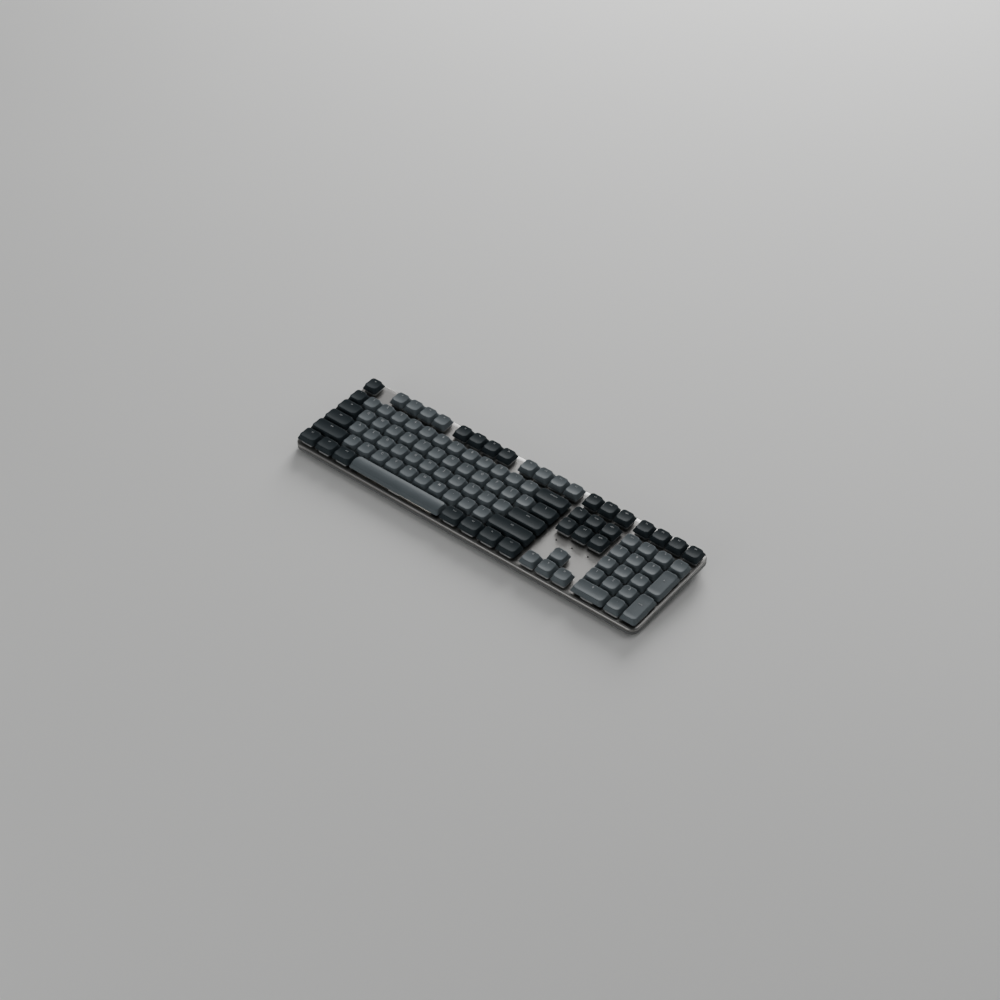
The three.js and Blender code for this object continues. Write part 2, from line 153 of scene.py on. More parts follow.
# ---- The keys: node without its ending, row, left edge, legends, width, height, finish ----
# The numbers are in key units. A row is the middle of its keys and an edge is their left side,
# both from the block's front left corner. A bank of two rows gives the rear row, and its legends
# are in two strings with the rear row's first.
BANKS = [
    ("esc", 5.75, 0, ["esc"], 1, 1, "dark"),
    ("f1_to_f4", 5.75, 2, ["F1 F2 F3 F4"], 1, 1, "grey"),
    ("f5_to_f8", 5.75, 6.5, ["F5 F6 F7 F8"], 1, 1, "dark"),
    ("f9_to_f12", 5.75, 11, ["F9 F10 F11 F12"], 1, 1, "grey"),
    ("system", 5.75, 15.25, ["prt mic light"], 1, 1, "dark"),
    ("media", 5.75, 18.5, ["M1 M2 M3 M4"], 1, 1, "dark"),
    ("grave", 4.5, 0, ["`"], 1, 1, "dark"),
    ("number_row", 4.5, 1, ["1 2 3 4 5 6 7 8 9 0 - ="], 1, 1, "grey"),
    ("backspace", 4.5, 13, ["backspace"], 2, 1, "dark"),
    ("tab", 3.5, 0, ["tab"], 1.5, 1, "dark"),
    ("q_row", 3.5, 1.5, ["Q W E R T Y U I O P [ ]"], 1, 1, "grey"),
    ("backslash", 3.5, 13.5, ["\\"], 1.5, 1, "dark"),
    ("caps_lock", 2.5, 0, ["caps"], 1.75, 1, "dark"),
    ("a_row", 2.5, 1.75, ["A S D F G H J K L ; '"], 1, 1, "grey"),
    ("enter", 2.5, 12.75, ["enter"], 2.25, 1, "dark"),
    ("left_shift", 1.5, 0, ["shift"], 2.25, 1, "dark"),
    ("z_row", 1.5, 2.25, ["Z X C V B N M , . /"], 1, 1, "grey"),
    ("right_shift", 1.5, 12.25, ["shift"], 2.75, 1, "dark"),
    ("left_ctrl", 0.5, 0, ["ctrl"], 1.25, 1, "dark"),
    ("left_option", 0.5, 1.25, ["opt"], 1.25, 1, "dark"),
    ("left_command", 0.5, 2.5, ["cmd"], 1.25, 1, "dark"),
    ("space_bar", 0.5, 3.75, [""], 6.25, 1, "grey"),
    ("right_command", 0.5, 10, ["cmd"], 1.25, 1, "dark"),
    ("right_option", 0.5, 11.25, ["opt"], 1.25, 1, "dark"),
    ("fn", 0.5, 12.5, ["fn"], 1.25, 1, "dark"),
    ("right_ctrl", 0.5, 13.75, ["ctrl"], 1.25, 1, "dark"),
    ("page_block", 4.5, 15.25, ["ins home pgup", "del end pgdn"], 1, 1, "dark"),
    ("up_arrow", 1.5, 16.25, ["^"], 1, 1, "grey"),
    ("left_arrow", 0.5, 15.25, ["<"], 1, 1, "grey"),
    ("down_arrow", 0.5, 16.25, ["v"], 1, 1, "grey"),
    ("right_arrow", 0.5, 17.25, [">"], 1, 1, "grey"),
    ("numpad_top", 4.5, 18.5, ["num / * -"], 1, 1, "grey"),
    ("numpad_7_to_9", 3.5, 18.5, ["7 8 9"], 1, 1, "grey"),
    ("numpad_4_to_6", 2.5, 18.5, ["4 5 6"], 1, 1, "grey"),
    ("numpad_1_to_3", 1.5, 18.5, ["1 2 3"], 1, 1, "grey"),
    ("numpad_zero", 0.5, 18.5, ["0"], 2, 1, "grey"),
    ("numpad_point", 0.5, 20.5, ["."], 1, 1, "grey"),
    ("numpad_plus", 3, 21.5, ["+"], 1, 2, "grey"),
    ("numpad_enter", 1, 21.5, ["enter"], 1, 2, "grey"),
]


class Key:
    """One key: its middle in the board frame, its size in key units, and its legend."""

    def __init__(self, x, y, wide=1, tall=1, legend="", z=0):
        self.x = x
        self.y = y
        self.z = z
        self.wide = wide
        self.tall = tall
        self.legend = legend

    @property
    def stretch(self):
        """How far each side stands out beyond a key of one unit, in millimetres."""
        return Vector(((self.wide - 1) * UNIT / 2, (self.tall - 1) * UNIT / 2, 0))


class Bank:
    """The keys that one body carries."""

    def __init__(self, name, row, edge, legends, wide, tall, finish):
        self.name = name
        self.finish = finish
        self.keys = []
        for line, words in enumerate(legends):
            for column, word in enumerate(words.split(" ")):
                x = board_x(edge + (column + 0.5) * wide)
                self.keys.append(Key(x, board_y(row - line), wide, tall, word))
        plural = "s" if len(self.keys) > 1 else ""
        self.node = f"{name}_keycap{plural}"
        self.body = f"{name}_key{plural}"
        self.joint = f"{self.body}_press"


ALL_BANKS = [Bank(*row) for row in BANKS]
ALL_KEYS = [key for bank in ALL_BANKS for key in bank.keys]


# ---- Meshes ----
def outline(wide, deep, radius, steps, bulge=0):
    """A rounded rectangle, anticlockwise from its front right corner, in millimetres.

    bulge bows each side outwards, most at its middle.
    """
    half_x, half_y = wide / 2, deep / 2
    points = []
    for turn, (cx, cy) in enumerate(((1, -1), (1, 1), (-1, 1), (-1, -1))):
        centre = Vector((cx * (half_x - radius), cy * (half_y - radius)))
        for step in range(steps + 1):
            angle = math.radians(90 * (turn - 1) + 90 * step / steps)
            points.append(centre + radius * Vector((math.cos(angle), math.sin(angle))))
    if bulge:
        for point in points:
            across = 1 - min(1, abs(point.y) / half_y) ** 2
            along = 1 - min(1, abs(point.x) / half_x) ** 2
            point.x += math.copysign(bulge * across, point.x)
            point.y += math.copysign(bulge * along, point.y)
    return points


def split_sides(points, steps, places):
    """Adds points along each side of an outline, at shares of its half-length.

    A small share puts a point just either side of the middle, where a longer key is drawn out.
    """
    result = []
    corner = steps + 1
    for index, point in enumerate(points):
        result.append(point)
        if index % corner == corner - 1:
            following = points[(index + 1) % len(points)]
            middle = (point + following) / 2
            for share in places:
                result.append(middle + (point - middle) * share)
            for share in reversed(places):
                result.append(middle + (following - middle) * share)
    return result


def loft(rings, caps=True, loop=False):
    """A mesh through rings of 3D points that all have the same count, lowest ring first."""
    bm = bmesh.new()
    rows = [[bm.verts.new(point) for point in ring] for ring in rings]
    count = len(rows[0])
    pairs = list(zip(rows, rows[1:]))
    if loop:
        pairs.append((rows[-1], rows[0]))
    for low, high in pairs:
        for i in range(count):
            j = (i + 1) % count
            bm.faces.new((low[i], low[j], high[j], high[i]))
    if caps and not loop:
        bm.faces.new(reversed(rows[0]))
        bm.faces.new(rows[-1])
    return bm


def rounded_body(wide, deep, corner, profile, steps=8, at=(0, 0)):
    """A rounded rectangle swept up a profile of (inset, height) points."""
    rings = []
    for inset, height in profile:
        radius = max(corner - inset, 0.05)
        flat = outline(wide - 2 * inset, deep - 2 * inset, radius, steps)
        rings.append([Vector((p.x + at[0], p.y + at[1], height)) for p in flat])
    return loft(rings)


def fillet(inset, height, radius, start, end, steps=4):
    """Points of a round on a profile, about its own centre, between two angles in degrees."""
    points = []
    for step in range(steps + 1):
        angle = math.radians(start + (end - start) * step / steps)
        points.append((inset - radius * math.cos(angle), height + radius * math.sin(angle)))
    return points


def slab_profile(low, high, edge_low, edge_high, steps=3):
    """A profile with rounded lower and upper edges."""
    lower = fillet(edge_low, low + edge_low, edge_low, -90, 0, steps)
    upper = fillet(edge_high, high - edge_high, edge_high, 0, 90, steps)
    return lower + upper


def add_block(bm, wide, deep, low, high, x=0, y=0, bevel=0.0):
    """Adds a box to bm, with its vertical and upper edges bevelled."""
    matrix = Matrix.Translation((x, y, (low + high) / 2)) @ Matrix.Diagonal(
        (wide, deep, high - low, 1)
    )
    made = bmesh.ops.create_cube(bm, size=1, matrix=matrix)
    if bevel:
        edges = {edge for vertex in made["verts"] for edge in vertex.link_edges}
        bmesh.ops.bevel(bm, geom=list(edges), offset=bevel, segments=2, affect="EDGES", profile=0.5)


def add_tube(bm, points, radius, sides=8):
    """Adds a round bar along a list of points."""
    rings = []
    for index, point in enumerate(points):
        before = points[max(index - 1, 0)]
        after = points[min(index + 1, len(points) - 1)]
        along = (after - before).normalized()
        turn = Vector((0, 0, 1)).rotation_difference(along).to_matrix()
        ring = []
        for side in range(sides):
            angle = 2 * math.pi * side / sides
            ring.append(
                bm.verts.new(point + turn @ Vector((math.cos(angle), math.sin(angle), 0)) * radius)
            )
        rings.append(ring)
    for low, high in zip(rings, rings[1:]):
        for i in range(sides):
            j = (i + 1) % sides
            bm.faces.new((low[i], low[j], high[j], high[i]))
    bm.faces.new(reversed(rings[0]))
    bm.faces.new(rings[-1])


def add_disc(bm, radius, low, high, x=0, y=0, sides=24, bevel=0.0):
    """Adds an upright round bar, drawn in at its top by bevel."""
    centre = Vector((x, y, 0))
    levels = [(radius, low), (radius, high - bevel), (radius - bevel, high)]
    rings = []
    for size, height in levels if bevel else (levels[0], (radius, high)):
        ring = []
        for side in range(sides):
            angle = 2 * math.pi * side / sides
            offset = Vector((math.cos(angle) * size, math.sin(angle) * size, height))
            ring.append(bm.verts.new(centre + offset))
        rings.append(ring)
    for lower, upper in zip(rings, rings[1:]):
        for i in range(sides):
            j = (i + 1) % sides
            bm.faces.new((lower[i], lower[j], upper[j], upper[i]))
    bm.faces.new(reversed(rings[0]))
    bm.faces.new(rings[-1])


def mesh_from(bm, name, place=None, smooth_angle=35):
    """Turns bm, in millimetres, into a mesh in metres, moved and smoothed below an angle."""
    bmesh.ops.recalc_face_normals(bm, faces=bm.faces)
    mesh = bpy.data.meshes.new(name)
    bm.to_mesh(mesh)
    bm.free()
    if place is not None:
        mesh.transform(place)
    mesh.transform(Matrix.Scale(MM, 4))
    smooth(mesh, smooth_angle)
    return mesh


def smooth(mesh, angle):
    mesh.shade_smooth()
    mesh.set_sharp_from_angle(angle=math.radians(angle))


def join_meshes(meshes, name):
    """One mesh from several in the same frame, with each one's materials kept."""
    bm = bmesh.new()
    materials = []
    for mesh in meshes:
        first = len(bm.faces)
        bm.from_mesh(mesh)
        bm.faces.ensure_lookup_table()
        shift = len(materials)
        for face in bm.faces[first:]:
            face.material_index += shift
        materials.extend(mesh.materials)
    joined = bpy.data.meshes.new(name)
    for item in materials:
        joined.materials.append(item)
    bm.to_mesh(joined)
    bm.free()
    return joined


def assembly(name, parts, place):
    """One mesh from several parts, each with its own finish."""
    meshes = []
    for bm, finish in parts:
        mesh = mesh_from(bm, f"{name}_part", place)
        mesh.materials.append(MATERIALS[finish])
        meshes.append(mesh)
    return join_meshes(meshes, name)


def boolean(mesh, other, operation, name):
    """The exact union or difference of two closed meshes."""
    target = bpy.data.objects.new(name, mesh)
    cutter = bpy.data.objects.new(name + "_cutter", other)
    for item in (target, cutter):
        bpy.context.scene.collection.objects.link(item)
    modifier = target.modifiers.new("boolean", "BOOLEAN")
    modifier.operation = operation
    modifier.solver = "EXACT"
    modifier.object = cutter
    result = evaluated_mesh(target, name)
    for item in (target, cutter):
        bpy.data.objects.remove(item)
    return result


def evaluated_mesh(item, name):
    """A plain copy of an object's mesh with its modifiers applied."""
    bpy.context.view_layer.update()
    graph = bpy.context.evaluated_depsgraph_get()
    graph.update()
    mesh = bpy.data.meshes.new_from_object(item.evaluated_get(graph))
    mesh.name = name
    return mesh


def body_of(node):
    """The body that a CAD node rides on."""
    bodies = frame["record"]["behaviour"]["bodies"]
    return next(body for body, nodes in bodies.items() if node in nodes)


def piece(name, mesh, body, material=None, replaces=()):
    """Places a finished mesh in the scene as one piece that rides on a body."""
    item = bpy.data.objects.new(name, mesh)
    bpy.context.scene.collection.objects.link(item)
    if material is not None:
        mesh.materials.clear()
        mesh.materials.append(material)
    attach(item, body)
    if replaces:
        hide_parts(*replaces)
    return item


# ---- Materials ----
def linear(hex_colour):
    """An sRGB hex colour as linear red, green, blue and alpha."""
    channels = []
    for start in (1, 3, 5):
        value = int(hex_colour[start : start + 2], 16) / 255
        channels.append(value / 12.92 if value <= 0.04045 else ((value + 0.055) / 1.055) ** 2.4)
    return (*channels, 1.0)


def add(tree, kind, inputs=None, **settings):
    """Adds a node with its settings, and sets or links its inputs by name or index."""
    item = tree.nodes.new(kind)
    for key, value in settings.items():
        setattr(item, key, value)
    for key, value in (inputs or {}).items():
        if isinstance(value, bpy.types.NodeSocket):
            tree.links.new(value, item.inputs[key])
        else:
            item.inputs[key].default_value = value
    return item


def shaded(colour, share):
    """A linear colour made lighter or darker by a share."""
    return (*(min(1.0, channel * share) for channel in colour[:3]), 1.0)


def textured(
    name, colour, roughness, grain, depth, mottle=0.05, patch=14.0, metallic=0.0, ior=1.5, gleam=0.5
):
    """A surface with a fine grain in its height, and slow changes of tone and gloss.

    grain and patch are the sizes of the grain and of the tone's patches in millimetres, and depth
    is the grain's height in millimetres. roughness is its lowest and highest value.
    """
    material = bpy.data.materials.new(name)
    material.use_nodes = True
    tree = material.node_tree
    shader = tree.nodes["Principled BSDF"]
    place = add(tree, "ShaderNodeTexCoord").outputs["Object"]
    slow = add(
        tree, "ShaderNodeTexNoise", {"Vector": place, "Scale": 1 / (patch * MM), "Detail": 3.0}
    )
    fine = add(
        tree, "ShaderNodeTexNoise", {"Vector": place, "Scale": 1 / (grain * MM), "Detail": 2.0}
    )
    slow_range = {"Value": slow.outputs["Fac"], "From Min": 0.3, "From Max": 0.7}
    tone = add(tree, "ShaderNodeValToRGB", {"Fac": slow.outputs["Fac"]})
    for element, stop, share in zip(tone.color_ramp.elements, (0.3, 0.7), (1 - mottle, 1 + mottle)):
        element.position = stop
        element.color = shaded(colour, share)
    gloss = add(
        tree, "ShaderNodeMapRange", {**slow_range, "To Min": roughness[0], "To Max": roughness[1]}
    )
    bump = add(
        tree,
        "ShaderNodeBump",
        {"Height": fine.outputs["Fac"], "Strength": 0.6, "Distance": depth * MM},
    )
    tree.links.new(tone.outputs["Color"], shader.inputs["Base Color"])
    tree.links.new(gloss.outputs["Result"], shader.inputs["Roughness"])
    tree.links.new(bump.outputs["Normal"], shader.inputs["Normal"])
    shader.inputs["Metallic"].default_value = metallic
    if not metallic:
        shader.inputs["IOR"].default_value = ior
        shader.inputs["Specular IOR Level"].default_value = gleam
    return material


MATERIALS = {}


def make_materials(colours):
    """Every finish, by a short name."""
    made = MATERIALS
    # Moulded PBT is matt with a fine spark-eroded grain: soft, wide highlights and no gloss.
    made["cap_grey"] = textured(
        "pbt_moulded_grey", colours.cap_grey, (0.42, 0.5), 0.35, 0.012, gleam=0.13
    )
    made["cap_dark"] = textured(
        "pbt_moulded_slate", colours.cap_dark, (0.46, 0.54), 0.35, 0.012, gleam=0.08
    )
    # The legend is a second shot of paler PBT, and stands a hair above the cap.
    made["legend"] = textured(
        "pbt_legend_pale_grey", colours.legend, (0.42, 0.5), 0.35, 0.008, ior=1.54
    )
    # Bead-blasted, anodised aluminium: a fine even sparkle and a broad, soft reflection.
    made["plate"] = textured(
        "aluminium_bead_blasted_anodised", colours.plate, (0.36, 0.41), 0.5, 0.006, 0.02, 60.0, 1.0
    )
    # Spark-eroded ABS has a slightly coarser grain than the caps.
    made["case"] = textured(
        "abs_spark_eroded_grey", colours.case, (0.48, 0.55), 0.6, 0.012, 0.03, 40.0, ior=1.54
    )
    # Milky polycarbonate, painted paler than the plastic round it: the pale tone is a painted highlight for the
    # line of light each flange catches under its cap's front.
    made["flange"] = textured(
        "polycarbonate_milky", colours.flange, (0.2, 0.28), 1.2, 0.003, 0.03, ior=1.58
    )
    made["tower"] = textured(
        "polycarbonate_smoked", linear("#24282a"), (0.18, 0.28), 1.2, 0.004, ior=1.58
    )
    # Glass-filled nylon is dull black, with faint flow marks.
    made["nylon"] = textured(
        "nylon_glass_filled_black", linear("#15171a"), (0.45, 0.6), 0.5, 0.012, ior=1.53
    )
    # Acetal is waxy, between satin and gloss.
    made["stem"] = textured(
        "acetal_moulded_brown", linear("#6a4630"), (0.3, 0.38), 0.8, 0.004, ior=1.48
    )
    # Drawn spring steel keeps a faint lengthwise sheen.
    made["spring"] = textured(
        "steel_spring_drawn", linear("#b9b8b4"), (0.22, 0.32), 0.3, 0.003, 0.04, 3.0, 1.0
    )
    # Bright nickel over stamped steel.
    made["nickel"] = textured(
        "steel_nickel_plated", linear("#c4c0b8"), (0.18, 0.28), 0.4, 0.004, 0.03, 6.0, 1.0
    )
    # Black oxide is a thin, dark, slightly uneven layer.
    made["screw"] = textured(
        "steel_black_oxide", linear("#3b3c3d"), (0.32, 0.45), 0.3, 0.006, 0.08, 2.0, 1.0
    )
    # Gold flash over nickel on copper.
    made["gold"] = textured(
        "copper_gold_plated", linear("#d8b061"), (0.22, 0.3), 0.3, 0.003, 0.03, 4.0, 1.0
    )
    # Reflowed solder is bright, with a slight orange-peel.
    made["solder"] = textured(
        "tin_solder_reflowed", linear("#c9cacb"), (0.2, 0.32), 0.4, 0.02, 0.04, 2.0, 1.0
    )
    # Solder mask is a glossy lacquer over the weave of the laminate.
    made["mask"] = textured(
        "solder_mask_dark_green", linear("#122a1f"), (0.25, 0.35), 0.7, 0.01, 0.08, 20.0
    )
    # Moulded epoxy is matt, with a fine even grain.
    made["chip"] = textured(
        "epoxy_moulded_black", linear("#1a1b1c"), (0.5, 0.6), 0.3, 0.008, ior=1.55
    )
    # Silicone rubber is soft and dull, and holds a little dust.
    made["rubber"] = textured(
        "silicone_rubber_black", linear("#1f2021"), (0.7, 0.85), 0.8, 0.03, 0.08, 5.0, ior=1.41
    )
    # Closed-cell foam has open pores where it was sliced.
    made["foam"] = textured(
        "foam_closed_cell_black", linear("#232425"), (0.85, 0.95), 0.9, 0.12, 0.1, 6.0, ior=1.4
    )
    # A pouch cell's laminate wrinkles gently over the wound foil.
    made["foil"] = textured(
        "aluminium_laminate_pouch", linear("#b8babc"), (0.3, 0.42), 5.0, 0.15, 0.03, 20.0, 1.0
    )
    # Polyimide tape is amber and glossy.
    made["tape"] = textured(
        "polyimide_tape_amber", linear("#a8641c"), (0.2, 0.3), 1.5, 0.01, 0.06, 6.0, ior=1.7
    )
    # Frosted polycarbonate over lights that are off.
    made["pip"] = textured(
        "polycarbonate_frosted", linear("#3c3e3e"), (0.25, 0.35), 0.6, 0.006, ior=1.58
    )
    # A light's silicone over its phosphor is dull yellow.
    made["led"] = textured(
        "silicone_phosphor_yellow", linear("#d9d2a4"), (0.3, 0.4), 0.5, 0.006, ior=1.41
    )
    frame["nodes"]["circuit_board"].data.materials.clear()
    frame["nodes"]["circuit_board"].data.materials.append(made["mask"])


# ---- Repeats on the keys ----
def key_tree():
    """Geometry nodes that set a blank on every key, draw it out to the key's size, and tilt it.

    Inputs: the keys' middles, the blank, its finish, the board's tilt and its place. A point of the
    blank moves by its attribute "side" times the key's attribute "stretch".
    """
    tree = bpy.data.node_groups.new("set_on_keys", "GeometryNodeTree")
    face = tree.interface
    for name, kind in (
        ("Keys", "Geometry"),
        ("Blank", "Object"),
        ("Finish", "Material"),
        ("Tilt", "Vector"),
        ("Place", "Vector"),
    ):
        face.new_socket(name, in_out="INPUT", socket_type=f"NodeSocket{kind}")
    face.new_socket("Geometry", in_out="OUTPUT", socket_type="NodeSocketGeometry")
    source = add(tree, "NodeGroupInput").outputs
    blank = add(tree, "GeometryNodeObjectInfo", {"Object": source["Blank"]})
    instances = add(
        tree,
        "GeometryNodeInstanceOnPoints",
        {"Points": source["Keys"], "Instance": blank.outputs["Geometry"]},
    )
    tilted = add(
        tree,
        "GeometryNodeTransform",
        {
            "Geometry": instances.outputs["Instances"],
            "Translation": source["Place"],
            "Rotation": source["Tilt"],
        },
    )
    real = add(tree, "GeometryNodeRealizeInstances", {"Geometry": tilted.outputs["Geometry"]})
    side = add(tree, "GeometryNodeInputNamedAttribute", {"Name": "side"}, data_type="FLOAT_VECTOR")
    stretch = add(
        tree, "GeometryNodeInputNamedAttribute", {"Name": "stretch"}, data_type="FLOAT_VECTOR"
    )
    level = add(
        tree,
        "ShaderNodeVectorMath",
        {0: side.outputs["Attribute"], 1: stretch.outputs["Attribute"]},
        operation="MULTIPLY",
    )
    offset = add(
        tree,
        "ShaderNodeVectorRotate",
        {"Vector": level.outputs["Vector"], "Rotation": source["Tilt"]},
        rotation_type="EULER_XYZ",
    )
    drawn = add(
        tree,
        "GeometryNodeSetPosition",
        {"Geometry": real.outputs["Geometry"], "Offset": offset.outputs["Vector"]},
    )
    finished = add(
        tree,
        "GeometryNodeSetMaterial",
        {"Geometry": drawn.outputs["Geometry"], "Material": source["Finish"]},
    )
    add(tree, "NodeGroupOutput", {"Geometry": finished.outputs["Geometry"]})
    return tree


def set_on_keys(keys, blank, finish, name):
    """A plain mesh in the desk frame with the blank mesh set on every key."""
    points = bpy.data.meshes.new(name)
    points.from_pydata([Vector((key.x, key.y, key.z)) * MM for key in keys], [], [])
    stretch = points.attributes.new("stretch", "FLOAT_VECTOR", "POINT")
    for index, key in enumerate(keys):
        stretch.data[index].vector = key.stretch * MM
    item = bpy.data.objects.new(name, points)
    bpy.context.scene.collection.objects.link(item)
    modifier = item.modifiers.new("set_on_keys", "NODES")
    modifier.node_group = bpy.data.node_groups.get("set_on_keys") or key_tree()
    values = {
        "Blank": bpy.data.objects.new(blank.name, blank),
        "Finish": MATERIALS[finish],
        "Tilt": Vector(BOARD.to_euler()),
        "Place": BOARD.translation * MM,
    }
    for socket in modifier.node_group.interface.items_tree:
        if socket.name in values:
            modifier[socket.identifier] = values[socket.name]
    result = evaluated_mesh(item, name)
    bpy.data.objects.remove(item)
    bpy.data.objects.remove(values["Blank"])
    for attribute in ("side", "stretch"):
        if attribute in result.attributes:
            result.attributes.remove(result.attributes[attribute])
    return result


# ---- Keycaps ----
def dish_height(x, y, sizes):
    """The height of a one-unit cap's face over its skirt, in millimetres: a shallow hollow.

    It is deeper from front to back than from side to side.
    """
    reach = sizes.cap_face / MM / 2
    share = (0.35 * x * x + y * y) / (1.35 * reach * reach)
    return CAP_HIGH - sizes.cap_dish / MM * (1 - min(share, 1.0))


def crown_height(x, y, sizes):
    """The space bar's face is round from front to back."""
    share = min(1.0, abs(y) / (sizes.cap_face / MM / 2))
    return CAP_HIGH - sizes.cap_crown / MM * share * share


def sign(value):
    return 0 if abs(value) < 1e-6 else math.copysign(1, value)


def cap_blank(sizes, height, name):
    """A one-unit cap as an open shell with rounded edges, its skirt at CAP_LIFT.

    Its attribute "side" holds the quadrant of each point, so that a wider cap is drawn out from
    its middle and keeps its corners.
    """
    corner_steps = 5
    places = (0.75, 0.5, 0.25, 0.045)
    foot, face, edge = sizes.cap_foot / MM, sizes.cap_face / MM, sizes.cap_edge / MM
    wall, roof = 1.1, 1.2
    face_corner, face_bulge = 3.2, 0.28
    rings = []

    def ring(wide, corner, bulge, level):
        flat = split_sides(outline(wide, wide, corner, corner_steps, bulge), corner_steps, places)
        if callable(level):
            return [Vector((p.x, p.y, level(p.x, p.y))) for p in flat]
        return [Vector((p.x, p.y, level)) for p in flat]

    def below_face(depth):
        return lambda x, y: height(x, y, sizes) - depth

    rings.append(ring(face - 2 * wall, 2.2, 0, CAP_HIGH - roof - sizes.cap_dish / MM))
    rings.append(ring(foot - 2 * wall, 1.2, 0, 0.0))
    rings.append(ring(foot - 0.5, 1.9, 0, 0.0))
    rings.append(ring(foot, 2.1, 0, 0.25))
    for share in (0.35, 0.7):
        wide = foot + (face + 1.4 * edge - foot) * share
        rings.append(ring(wide, 2.1 + 1.1 * share, 0.2 * share, 0.25 + (CAP_HIGH - 1.6) * share))
    for angle in (20, 43, 67, 90):
        inset = edge * math.cos(math.radians(angle))
        drop = edge * (1 - math.sin(math.radians(angle)))
        rings.append(ring(face + 2 * inset, face_corner, face_bulge, below_face(drop)))
    for share in (0.86, 0.7, 0.52, 0.34, 0.16):
        rings.append(ring(face * share, face_corner * share, face_bulge * share, below_face(0.0)))
    mesh = mesh_from(loft(rings), name, Matrix.Translation((0, 0, CAP_LIFT)), 50)
    side = mesh.attributes.new("side", "FLOAT_VECTOR", "POINT")
    for index, vertex in enumerate(mesh.vertices):
        side.data[index].vector = (sign(vertex.co.x / MM), sign(vertex.co.y / MM), 0)
    return mesh


def legend_mesh(key, sizes, height):
    """A key's legend as a thin solid that follows the cap's face, in the desk frame."""
    curve = bpy.data.curves.new("legend", "FONT")
    curve.body = key.legend
    curve.align_x = "CENTER"
    curve.align_y = "CENTER"
    is_word = len(key.legend) > 1
    curve.size = (sizes.word_height if is_word else sizes.letter_height) / MM
    curve.offset = 0 if is_word else sizes.legend_weight / MM
    curve.extrude = 0.06
    curve.resolution_u = 2
    item = bpy.data.objects.new("legend", curve)
    bpy.context.scene.collection.objects.link(item)
    mesh = evaluated_mesh(item, "legend")
    bpy.data.objects.remove(item)
    bpy.data.curves.remove(curve)
    sunk = 0.01
    for vertex in mesh.vertices:
        x = vertex.co.x + sizes.legend_side / MM
        y = vertex.co.y + sizes.legend_back / MM
        beyond = max(0.0, abs(x) - key.stretch.x)
        top = CAP_LIFT + height(beyond, y, sizes)
        vertex.co = (key.x + x, key.y + y, top + vertex.co.z - sunk)
    mesh.transform(BOARD)
    mesh.transform(Matrix.Scale(MM, 4))
    mesh.materials.clear()
    mesh.materials.append(MATERIALS["legend"])
    return mesh


def build_keycaps(sizes):
    """A piece for every bank: its moulded caps with their legends."""
    dished = cap_blank(sizes, dish_height, "cap_blank_dished")
    crowned = cap_blank(sizes, crown_height, "cap_blank_crowned")
    for bank in ALL_BANKS:
        is_space = bank.name == "space_bar"
        name = f"{bank.name}_moulded_caps"
        shells = set_on_keys(bank.keys, crowned if is_space else dished, f"cap_{bank.finish}", name)
        legends = [legend_mesh(key, sizes, dish_height) for key in bank.keys if key.legend]
        piece(
            name,
            join_meshes([shells, *legends], name),
            bank.body,
            None,
            [bank.node],
        )


# ---- Switches ----
def bored_body(wide, corner, profile, steps, floor=None):
    """A square body with the stem's bore from its top, through it or down to a floor."""
    rings = []
    for inset, height in profile:
        flat = outline(wide - 2 * inset, wide - 2 * inset, corner - inset, steps)
        rings.append([Vector((p.x, p.y, height)) for p in flat])
    foot = profile[0][1] if floor is None else floor
    for height in (profile[-1][1], foot):
        rings.append([Vector((p.x, p.y, height)) for p in outline(*BORE, BORE_CORNER, steps)])
    return loft(rings, loop=floor is None)


def flange_blank():
    """The flange that rests on the plate."""
    profile = [(0, 0.02), (0, 0.8), (0.2, 1.0)]
    return mesh_from(bored_body(14.8, 1.6, profile, 2), "flange_blank")


def tower_blank():
    """The upper housing: a tapered tower round the stem."""
    profile = [(0, 1.0), (0, 1.3), (1.2, 3.6), (1.5, TOWER_TOP)]
    return mesh_from(bored_body(12.8, 3.2, profile, 2), "tower_blank")


def lower_housing_blank():
    """The lower housing: a cup between the flange and the circuit board."""
    profile = [(0.3, HOUSING_FOOT), (0, HOUSING_FOOT + 0.3), (0, 0.0)]
    return mesh_from(bored_body(13.8, 0.8, profile, 1, SPRING_FLOOR), "lower_housing_blank")


def stem_blank():
    """The plunger: a rail in the housing and a cross that holds the cap."""
    bm = bmesh.new()
    add_block(bm, 6.6, 5.4, 3.2, 4.6, bevel=0.3)
    add_block(bm, 4.1, 1.3, 4.6, 7.3, bevel=0.15)
    add_block(bm, 1.3, 4.1, 4.6, 7.3, bevel=0.15)
    return mesh_from(bm, "stem_blank")


def spring_blank(low, high, turns=5, steps=10, coil=2.1, wire=SPRING_WIRE_RADIUS):
    """A coil of round wire, standing on the lower housing's floor."""
    points = []
    for step in range(turns * steps + 1):
        angle = 2 * math.pi * step / steps
        height = low + (high - low) * step / (turns * steps)
        points.append(Vector((coil * math.cos(angle), coil * math.sin(angle), height)))
    bm = bmesh.new()
    add_tube(bm, points, wire, 4)
    return mesh_from(bm, "spring_blank", smooth_angle=80)


